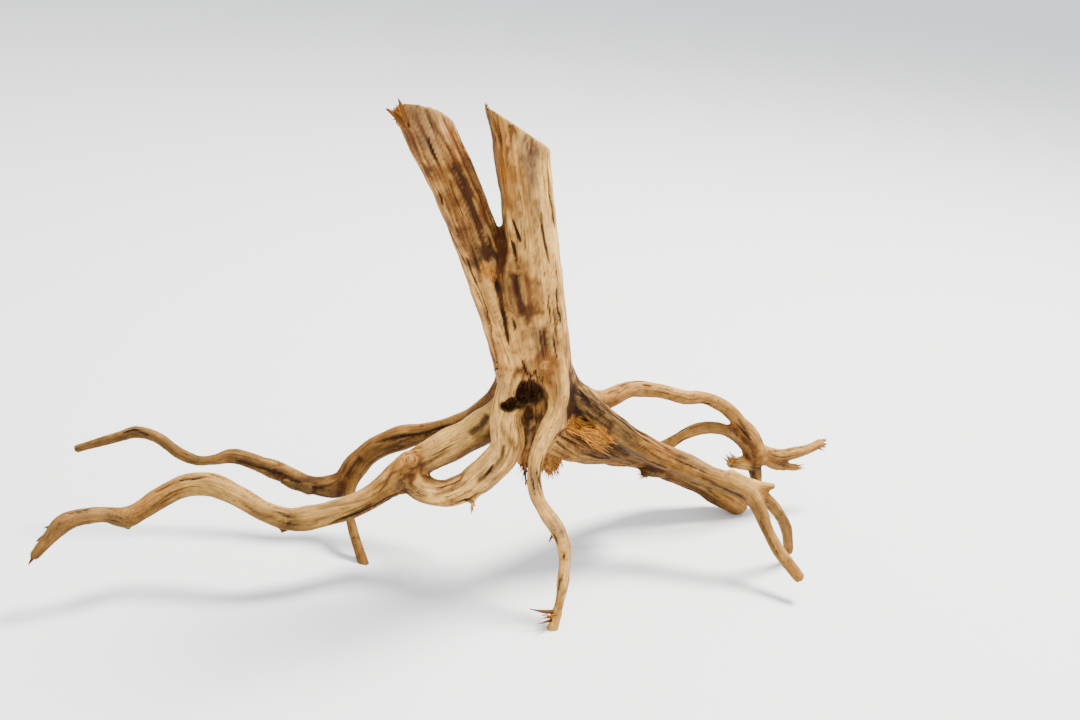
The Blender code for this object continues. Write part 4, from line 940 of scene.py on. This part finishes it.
def read_normals(mesh):
    normals = np.empty(len(mesh.vertices) * 3, np.float32)
    mesh.vertex_normals.foreach_get("vector", normals)
    return normals.reshape(-1, 3).astype(float)


def write_points(mesh, points):
    mesh.vertices.foreach_set("co", points.astype(np.float32).ravel())
    mesh.update()


def line_distance(points, path):
    """Distance from each point to a path, and the share of the path passed at the nearest place."""
    path = np.array(path, float) * CM
    steps = np.linalg.norm(np.diff(path, axis=0), axis=1)
    whole, passed = steps.sum(), 0.0
    best, share = np.full(len(points), np.inf), np.zeros(len(points))
    for start, end, step in zip(path[:-1], path[1:], steps):
        t = np.clip(((points - start) @ (end - start)) / step ** 2, 0, 1)
        distance = np.linalg.norm(points - start - t[:, None] * (end - start), axis=1)
        nearer = distance < best
        best[nearer] = distance[nearer]
        share[nearer] = (passed + t[nearer] * step) / whole
        passed += step
    return best, share


def random_cracks(points, grain, normals, draw):
    """Fine cracks along the grain at random places, as rows like those of CRACKS."""
    rows = []
    for start in draw.integers(0, len(points), RANDOM_CRACKS):
        length = draw.uniform(*RANDOM_CRACK_LENGTHS) * min(1.0, grain.radius[start] / FULL_CRACK_RADIUS)
        side = np.cross(grain.ahead[start], normals[start])
        middle = points[start] / CM
        lean = draw.uniform(-RANDOM_CRACK_LEAN, RANDOM_CRACK_LEAN)
        way = grain.ahead[start] + side * lean
        bend = side * draw.uniform(-RANDOM_CRACK_BEND, RANDOM_CRACK_BEND)
        ends = (middle - way * length, middle + bend, middle + way * length)
        rows.append((draw.uniform(*RANDOM_CRACK_WIDTHS), *ends))
    return rows


def crack_field(points, rows):
    """Millimetres to the nearest crack's edge, below 0 inside it."""
    field = np.full(len(points), CRACK_REACH)
    for half_width, *path in rows:
        ends = np.array(path) * CM
        size = np.ptp(ends, axis=0).max() + CRACK_MARGIN
        near = np.linalg.norm(points - ends.mean(axis=0), axis=1) < size
        distance, share = line_distance(points[near], path)
        taper = half_width * np.sqrt(np.clip(1 - (2 * share - 1) ** 2, 0.02, 1))
        field[near] = np.minimum(field[near], distance / MM - taper)
    return field


def paint(tone, colour, share):
    """Moves the tone towards the colour by the share at each point."""
    return tone + (np.array(colour) - tone) * np.clip(share, 0, 1)[:, None]


def write_numbers(mesh, name, values):
    layer = mesh.attributes.new(name, "FLOAT", "POINT")
    layer.data.foreach_set("value", values.astype(np.float32))


def write_vectors(mesh, name, values):
    layer = mesh.attributes.new(name, "FLOAT_VECTOR", "POINT")
    layer.data.foreach_set("vector", values.astype(np.float32).ravel())


def write_colours(mesh, name, values):
    layer = mesh.attributes.new(name, "FLOAT_COLOR", "POINT")
    rows = np.column_stack([np.clip(values, 0, 1), np.ones(len(values))])
    layer.data.foreach_set("color", rows.astype(np.float32).ravel())


def egg_depth(points, centre, radii, tilt):
    """0 at the middle of a tilted egg and 1 on its skin."""
    turn = math.radians(tilt)
    offset = points / CM - np.array(centre)
    x = offset[:, 0] * math.cos(turn) - offset[:, 2] * math.sin(turn)
    z = offset[:, 0] * math.sin(turn) + offset[:, 2] * math.cos(turn)
    return np.sqrt((x / radii[0]) ** 2 + (offset[:, 1] / radii[1]) ** 2 + (z / radii[2]) ** 2)


def sawn_share(points, normals):
    """1 on the flat faces of the two saw cuts."""
    sawn = np.zeros(len(points))
    for point, normal in ((LEFT_CUT_POINT, LEFT_CUT_NORMAL), (RIGHT_CUT_POINT, RIGHT_CUT_NORMAL)):
        way = np.array(normal) / np.linalg.norm(normal)
        height = (points - np.array(point) * CM) @ way
        near = np.linalg.norm(points - np.array(point) * CM, axis=1) < SAWN_REACH
        sawn = np.maximum(sawn, near * ramp(height, *SAWN_HEIGHTS) * ramp(normals @ way, *SAWN_FACING))
    return sawn


def furrows(points):
    """The lift in metres of all the furrows, and how dark the painted shade is at each place in them."""
    lift, dark = np.zeros(len(points)), np.zeros(len(points))
    wander = 1 + FURROW_WANDER * noise(points / FURROW_WANDER_SIZE, 6)
    for half_width, depth, *path in FURROWS + FINE_FURROWS:
        distance, share = line_distance(points, path)
        fade = np.clip(FURROW_FADE * np.minimum(share, 1 - share), 0, 1)
        across = np.exp(-(distance / (half_width * CM * wander)) ** 2) * fade
        lift -= across * depth * CM
        dark = np.maximum(dark, across * min(1.0, FURROW_DARKNESS + DEPTH_DARKNESS * depth))
    return lift, dark


def rot_and_shade_share(points):
    """How rotten each point is, by the hollow's bites: its rough relief, and the painted shade inside the
    hollow.
    """
    rot_and_shade = np.zeros(len(points))
    for name, bite in HOLLOW_BITES.items():
        rot_and_shade = np.maximum(rot_and_shade, ROT_AND_SHADE_SHARES[name] * (1 - ramp(egg_depth(points, *bite), *ROT_AND_SHADE_EDGE)))
    return rot_and_shade


def torn_share(points):
    """1 on the torn patch, with a ragged edge."""
    ragged = egg_depth(points, *TORN_PATCH) + 0.3 * noise(points / 0.004, 21)
    return 1 - ramp(ragged, *TORN_EDGE)


def groove_share(points, grain):
    """1 along the narrow grooves that follow the grain in some places."""
    grooves = np.maximum(0, 1 - np.abs(grain.noise(*GROOVES)) * GROOVE_SHARPNESS)
    return grooves * ramp(even_noise(points, *GROOVED_PLACES), -0.25, 0.3)


def relief(points, grain, rot_and_shade, torn, sawn, grooves):
    """How far each point is lifted, in metres, and how dark it is painted: the painted shade of a furrow,
    or the dark ring of a knot.
    """
    thick = full_share(grain)
    lift = RIDGE_HEIGHT * grain.noise(*RIDGES) + FINE_RIDGE_HEIGHT * grain.noise(*FINE_RIDGES)
    lift = (lift + WAVE_HEIGHT * even_noise(points, *WAVES)) * thick
    lift -= GROOVE_DEPTH * grooves * thick
    lift += rot_and_shade * ROT_HEIGHT * even_noise(points, *ROT_RELIEF)
    lift += torn * TORN_HEIGHT * grain.noise(*TORN_RELIEF)
    lift *= 1 - SAWN_CALM * sawn
    pressed, dark = furrows(points)
    lift += pressed
    for half_size, height, middle in KNOTS:
        distance = np.linalg.norm(points - np.array(middle) * CM, axis=1) / (half_size * CM)
        lift += height * CM * np.exp(-distance ** 2) * (1 + 0.4 * np.cos(distance * 9))
        dark = np.maximum(dark, 0.5 * np.exp(-((distance - 0.8) / 0.25) ** 2))
    return lift, dark


def full_share(grain):
    """The share of the relief that each point's limb is thick enough for."""
    return np.clip(grain.radius / FULL_RELIEF_RADIUS, LEAST_RELIEF, 1)


def even_noise(points, size, salt, layers):
    """Noise of one size everywhere."""
    return layered(points / size, salt, layers)


def hollowness(points, normals, edges):
    """Above 0 in dips and below 0 on ridges."""
    total = np.zeros(len(points))
    for rounds, scale in DIPS:
        dip = ((smoothed(points, edges, rounds) - points) * normals).sum(1)
        total += 0.5 * np.clip(dip / scale, -1, 1)
    return total


def stained_and_shaded(tone, points, grain, mottle, streak):
    """The tone with the photo's stains and some painted shade, drawn out along the grain."""
    for colour, size, strength, *centre in STAINS_AND_SHADE:
        offset = points - np.array(centre) * CM
        along = (offset * grain.ahead).sum(1)
        aside = np.linalg.norm(offset - along[:, None] * grain.ahead, axis=1)
        reach = np.sqrt((along / STAIN_AND_SHADE_STRETCH) ** 2 + aside ** 2) / (STAIN_AND_SHADE_SPREAD * size * CM)
        share = 1 - ramp(reach + 0.5 * mottle + 0.4 * streak, *STAIN_AND_SHADE_EDGE)
        tone = paint(tone, PALETTE[colour], strength * share)
    return tone


def wood_tone(points, normals, edges, grain, dark, grooves):
    """The wood's colour at each point, with painted light on its tops and ridges and painted shade on its
    undersides, dips and furrows, before the torn, rotten and sawn places.
    """
    lean = np.array([LIMB_TONES.get(name, DEFAULT_TONE) for name in LIMBS]).T @ grain.shares()
    dip = hollowness(points, normals, edges)
    patch, mottle = even_noise(points, *PATCHES), even_noise(points, *MOTTLES)
    streak, band, blotch = grain.noise(*STREAKS), grain.noise(*BANDS), grain.noise(*BLOTCHES)
    up = normals[:, 2]
    patterns = {"up": up, "patch": patch, "mottle": mottle, "all": 1.0}
    patterns |= {"streak": streak, "band": band, "blotch": blotch}
    tone = np.tile(np.array(TAN), (len(points), 1))
    for own_share, (colour, weights) in zip(lean, PATTERN_SHARES.items()):
        share = own_share + sum(weight * patterns[name] for name, weight in weights.items())
        tone = paint(tone, PALETTE[colour], share)
    tone = paint(tone, GREY, lean[3] * ramp(streak + 0.8 * band, 0.1, 0.7) * 2.2)
    tone = stained_and_shaded(tone, points, grain, mottle, streak)
    # Painted shade in the furrows, darker where they are deeper, with the dark rings of the knots.
    tone = paint(tone, DARK, 0.9 * ramp(dark + 0.25 * streak, 0.25, 0.95))
    tone = paint(tone, BROWN, 0.85 * grooves)
    # Painted shade in the dips, darker in the deeper ones, and painted highlight on the ridges.
    tone = paint(tone, BROWN, 0.7 * ramp(dip, 0.1, 0.8))
    tone = paint(tone, DARK, 0.6 * ramp(dip, 0.5, 1.0))
    tone = paint(tone, CREAM, 0.3 * ramp(-dip, 0.15, 0.8))
    tone = paint(tone, BROWN, 0.45 * ramp(even_noise(points, *SPECKS) + 0.5 * patch, 0.62, 0.8))
    lightness = lean[4] * (1 + 0.18 * np.clip(streak * 1.6, -1, 1))
    # Painted light and shade: faces turned up are made lighter, faces turned down darker.
    return tone * (lightness * (1 + 0.25 * mottle) * (1 + 0.36 * up))[:, None]


def bare_wood(tone, points, grain, rot_and_shade, torn, sawn):
    """The tone with its torn, rotten and sawn places, and the painted shade inside the hollow."""
    tone = paint(tone, TORN_DEEP, torn * 0.9)
    tone = paint(tone, TORN_BRIGHT, torn * ramp(grain.noise(*TORN_STREAKS), -0.1, 0.5))
    # Painted shade: the inside of the hollow is painted nearly black.
    tone = paint(tone, DARK, rot_and_shade * 0.94)
    tone = paint(tone, ORANGE, rot_and_shade * 0.35 * ramp(even_noise(points, *ROT_STREAKS), 0.0, 0.4))
    return paint(tone, SAWN_COLOUR, sawn * 0.8)


def dress(skin):
    """Raises the fine relief on the skin and writes what its material reads."""
    mesh = skin.data
    points, normals, edges = read_points(mesh), read_normals(mesh), neighbours(mesh)
    grain = Grain(points)
    rot_and_shade, torn, sawn = rot_and_shade_share(points), torn_share(points), sawn_share(points, normals)
    grooves = groove_share(points, grain)
    lift, dark = relief(points, grain, rot_and_shade, torn, sawn, grooves)
    rows = list(CRACKS) + random_cracks(points, grain, normals, np.random.default_rng(SEED + 90))
    crack = crack_field(points, rows) + 0.35 * grain.noise(*CRACK_WANDER)
    lift -= CRACK_DEPTH * (1 - ramp(crack, -0.2, 1.2)) * full_share(grain)
    points = points + normals * lift[:, None]
    points = points + (smoothed(points, edges, 1) - points) * 0.2
    write_points(mesh, points)
    normals = read_normals(mesh)
    tone = wood_tone(points, normals, edges, grain, dark, grooves)
    tone = bare_wood(tone, points, grain, rot_and_shade, torn, sawn)
    points = within_part(points + STAND)
    write_points(mesh, points)
    write_layers(mesh, grain.straight, grain.weights.T, tone, crack, np.maximum(torn, rot_and_shade), sawn)
    return points, normals


def write_layers(mesh, grains, slots, tone, crack, torn, sawn):
    """Writes all that the wood's material reads from a mesh."""
    for name, grain in zip(GRAIN_LAYERS, grains):
        write_vectors(mesh, name, grain)
    write_vectors(mesh, "slots", slots)
    write_colours(mesh, "tone", tone)
    write_numbers(mesh, "crack", crack)
    write_numbers(mesh, "torn", torn)
    write_numbers(mesh, "sawn", sawn)
    mesh.shade_smooth()


def within_part(points):
    """The points held inside the part's own box."""
    return np.clip(points, np.array(CAD_BOX[0]), np.array(CAD_BOX[1]))


def strand(foot, way, length, width, draw):
    """Corners of one bent, tapering fibre, in rings."""
    side = np.cross(way, draw.normal(size=3))
    side /= np.linalg.norm(side)
    other = np.cross(way, side)
    bend = draw.uniform(-STRAND_BEND, STRAND_BEND) * length
    angles = np.linspace(0, 2 * math.pi, STRAND_SIDES, endpoint=False)
    rings = []
    for t in np.linspace(0, 1, STRAND_RINGS):
        middle = foot + way * length * t + side * bend * t * t
        half = width * (1 - STRAND_TAPER * t) / 2
        turn = np.cos(angles)[:, None] * side + STRAND_FLATNESS * np.sin(angles)[:, None] * other
        rings.append(middle + half * turn)
    return np.vstack(rings)


def strand_faces():
    """The sides and the two ends of a fibre."""
    last = (STRAND_RINGS - 1) * STRAND_SIDES
    foot, tip = tuple(reversed(range(STRAND_SIDES))), tuple(range(last, last + STRAND_SIDES))
    return [foot, *band_faces(STRAND_RINGS, STRAND_SIDES), tip]


def strand_rows(skin_points, skin_normals, draw):
    """Foot, direction, length, width and colour of each splinter and fibre."""
    rows = []
    for x, y, z, tip_x, tip_y, tip_z, width in SPLINTERS:
        foot = np.array((x, y, z)) * CM + STAND
        way = np.array((tip_x, tip_y, tip_z)) * CM + STAND - foot
        length = np.linalg.norm(way)
        rows.append((foot, way / length, length, width * CM, SPLINTER_COLOUR))
    for middle, way, spread, count, length, colour in FIBRE_ZONES:
        distance = np.linalg.norm(skin_points - (np.array(middle) * CM + STAND), axis=1)
        near = np.flatnonzero(distance < spread * CM)
        if not len(near):
            continue
        for index in draw.choice(near, min(count, len(near)), replace=False):
            lean = np.array(way) + draw.normal(size=3) * STRAND_SCATTER + STRAND_LIFT * skin_normals[index]
            lean /= np.linalg.norm(lean)
            size = length * CM * draw.uniform(*STRAND_LENGTHS)
            foot = skin_points[index] - STRAND_SINK * skin_normals[index]
            rows.append((foot, lean, size, draw.uniform(*STRAND_WIDTHS), colour))
    return rows


def torn_fibres(skin_points, skin_normals):
    """The torn ends' splinters and fibres, standing out of the skin, as one mesh."""
    draw = np.random.default_rng(SEED + 60)
    corners, faces, tones, grains = [], [], [], []
    block = STRAND_SIDES * STRAND_RINGS
    for number, row in enumerate(strand_rows(skin_points, skin_normals, draw)):
        foot, way, length, width, colour = row
        corners.append(strand(foot, way, length, width, draw))
        faces += [tuple(number * block + index for index in face) for face in strand_faces()]
        tones.append(np.tile(np.array(colour) * draw.uniform(*STRAND_TONES), (block, 1)))
        along = np.repeat(np.linspace(0, length, STRAND_RINGS), STRAND_SIDES)
        grains.append(np.column_stack([np.full(block, number * 0.01), np.zeros(block), along]))
    piece = mesh_object("torn_fibres", within_part(np.vstack(corners)), faces)
    count = len(piece.data.vertices)
    slots = np.tile((1.0, 0.0, 0.0), (count, 1))
    far, torn, sawn = np.full(count, CRACK_REACH), np.ones(count), np.zeros(count)
    write_layers(piece.data, [np.vstack(grains)] * SLOT_COUNT, slots, np.vstack(tones), far, torn, sawn)
    return piece


class Shader:
    """A short way to add and join shader nodes."""

    def __init__(self, name):
        self.material = bpy.data.materials.new(name)
        self.material.use_nodes = True
        self.tree = self.material.node_tree
        self.surface = self.tree.nodes["Principled BSDF"]

    def join(self, source, target):
        """Links an output to an input, or sets the input to a number or a row of numbers."""
        if isinstance(source, (int, float)):
            target.default_value = source
        elif isinstance(source, tuple):
            target.default_value = source if len(source) == len(target.default_value) else (*source, 1.0)
        else:
            self.tree.links.new(source, target)

    def add(self, kind, inputs, output=0, **settings):
        """A new node's output, with its settings made and its inputs joined."""
        node = self.tree.nodes.new("ShaderNode" + kind)
        for name, value in settings.items():
            setattr(node, name, value)
        for place, source in inputs.items():
            self.join(source, node.inputs[place])
        return node.outputs[output]

    def attribute(self, name, output):
        return self.add("Attribute", {}, output, attribute_name=name)

    def scaled(self, vector, scale):
        return self.add("VectorMath", {0: vector, 1: scale}, operation="MULTIPLY")

    def noise(self, vector, detail):
        inputs = {"Vector": vector, "Scale": 1.0, "Detail": detail, "Roughness": NOISE_ROUGHNESS}
        return self.add("TexNoise", inputs, "Fac")

    def math(self, operation, first, second):
        return self.add("Math", {0: first, 1: second}, operation=operation)

    def spread(self, value, low, high, start=0.0, end=1.0):
        """Start where the value is low, end where it is high and smooth between."""
        inputs = dict(enumerate((value, low, high, start, end)))
        return self.add("MapRange", inputs, interpolation_type="SMOOTHSTEP")

    def mix(self, share, first, second, blend="MIX"):
        """The second colour laid over the first by the share."""
        inputs = {0: share, MIXED_COLOURS[0]: first, MIXED_COLOURS[1]: second}
        return self.add("Mix", inputs, MIX_RESULT, data_type="RGBA", blend_type=blend)

    def grey(self, value):
        """The same value for red, green and blue."""
        return self.add("CombineXYZ", {0: value, 1: value, 2: value})

    def bump(self, height, depth):
        return self.add("Bump", {"Strength": 1.0, "Distance": depth, "Height": height}, "Normal")


def wood_material():
    """The wood: its tone and marks from the mesh, and its finest grain from noise along the limbs."""
    wood = Shader("weathered_wood")
    grains = [wood.attribute(name, "Vector") for name in GRAIN_LAYERS]
    slots = wood.tree.nodes.new("ShaderNodeSeparateXYZ")
    wood.join(wood.attribute("slots", "Vector"), slots.inputs[0])
    tone = wood.attribute("tone", "Color")
    crack, torn, sawn = (wood.attribute(name, "Fac") for name in ("crack", "torn", "sawn"))

    def along_grain(scale, detail):
        """Noise drawn out along each limb, blended where the limbs meet."""
        total = 0.0
        for grain, share in zip(grains, slots.outputs):
            part = wood.math("MULTIPLY", wood.noise(wood.scaled(grain, scale), detail), share)
            total = wood.math("ADD", part, total)
        return total

    patterns = {name: along_grain(*row) for name, row in SHADER_GRAIN.items()}
    shade = 1.0
    for name, row in SHADES.items():
        shade = wood.math("MULTIPLY", shade, wood.spread(patterns[name], *row))
    colour = wood.mix(1.0, tone, wood.grey(shade), "MULTIPLY")
    colour = wood.mix(wood.spread(crack, 0.75, -0.1, 0.0, 0.95), colour, CRACK_COLOUR)
    wood.join(colour, wood.surface.inputs["Base Color"])
    wood.join(wood.spread(patterns["fibre"], 0.3, 0.7, 0.55, 0.82), wood.surface.inputs["Roughness"])
    wood.surface.inputs["Specular IOR Level"].default_value = SPECULAR_LEVEL

    hairs = wood.math("MULTIPLY", patterns["hair"], HAIR_SHARE)
    pits = wood.math("MULTIPLY", wood.spread(patterns["pores"], 0.62, 0.72), PORE_SHARE)
    frayed = wood.math("MULTIPLY", wood.math("MULTIPLY", torn, patterns["hair"]), TORN_SHARE)
    height = wood.math("MULTIPLY", patterns["fibre"], FIBRE_SHARE)
    height = wood.math("ADD", height, hairs)
    height = wood.math("ADD", height, wood.spread(crack, -0.1, 0.8))
    height = wood.math("SUBTRACT", height, pits)
    height = wood.math("ADD", height, frayed)
    height = wood.math("MULTIPLY", height, wood.spread(sawn, 0.0, 1.0, 1.0, SAWN_SHARE))
    wood.join(wood.bump(height, BUMP_DEPTH), wood.surface.inputs["Normal"])
    return wood.material


def plain_material(name, colour, roughness):
    """A material of one colour."""
    material = Shader(name)
    material.join(colour, material.surface.inputs["Base Color"])
    material.surface.inputs["Roughness"].default_value = roughness
    return material.material


def stage_floor():
    """A plain pale floor at the root's feet."""
    half = FLOOR_HALF_SIZE
    corners = [(-half, -half, 0.0), (half, -half, 0.0), (half, half, 0.0), (-half, half, 0.0)]
    floor = mesh_object("floor", corners, [(0, 1, 2, 3)])
    floor.data.materials.append(plain_material("pale_floor", FLOOR_COLOUR, FLOOR_ROUGHNESS))


def area_light(name, direction, distance, size, watts, colour):
    """A round light that shines on the root from the direction."""
    data = bpy.data.lights.new(name, "AREA")
    data.shape = "DISK"
    data.size = size
    data.energy = watts
    data.color = colour
    light = bpy.data.objects.new(name, data)
    bpy.context.collection.objects.link(light)
    way = Vector(direction).normalized()
    light.location = Vector(LIGHT_AIM) + way * distance
    light.rotation_euler = way.to_track_quat("Z", "Y").to_euler()


def studio():
    """Pale even air and two soft lights."""
    world = bpy.data.worlds.new("studio_air")
    world.use_nodes = True
    world.node_tree.nodes["Background"].inputs["Color"].default_value = AIR_COLOUR
    world.node_tree.nodes["Background"].inputs["Strength"].default_value = AIR_STRENGTH
    bpy.context.scene.world = world
    for name, row in LIGHTS.items():
        area_light(name, *row)


def camera():
    """The camera that took the photo."""
    right, down, ahead = Vector(CAMERA_RIGHT), Vector(CAMERA_DOWN), Vector(CAMERA_AHEAD)
    data = bpy.data.cameras.new("camera")
    data.sensor_width = SENSOR_WIDTH
    data.lens = SENSOR_WIDTH * LENS_SHARE
    data.clip_end = SEEN_DISTANCE
    seen = bpy.data.objects.new("camera", data)
    bpy.context.collection.objects.link(seen)
    turn = Matrix((right, -down, -ahead)).transposed().to_4x4()
    seen.matrix_world = Matrix.Translation(Vector(CAMERA_PLACE) + Vector(STAND)) @ turn
    bpy.context.scene.camera = seen


def make():
    """Builds the root, its stage, its lights and its camera."""
    skin = build_skin()
    fibres = torn_fibres(*dress(skin))
    material = wood_material()
    for piece in (skin, fibres):
        piece.data.materials.clear()
        piece.data.materials.append(material)
        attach(piece, "root")
        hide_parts("spiderwood_root")
    stage_floor()
    studio()
    camera()


make()
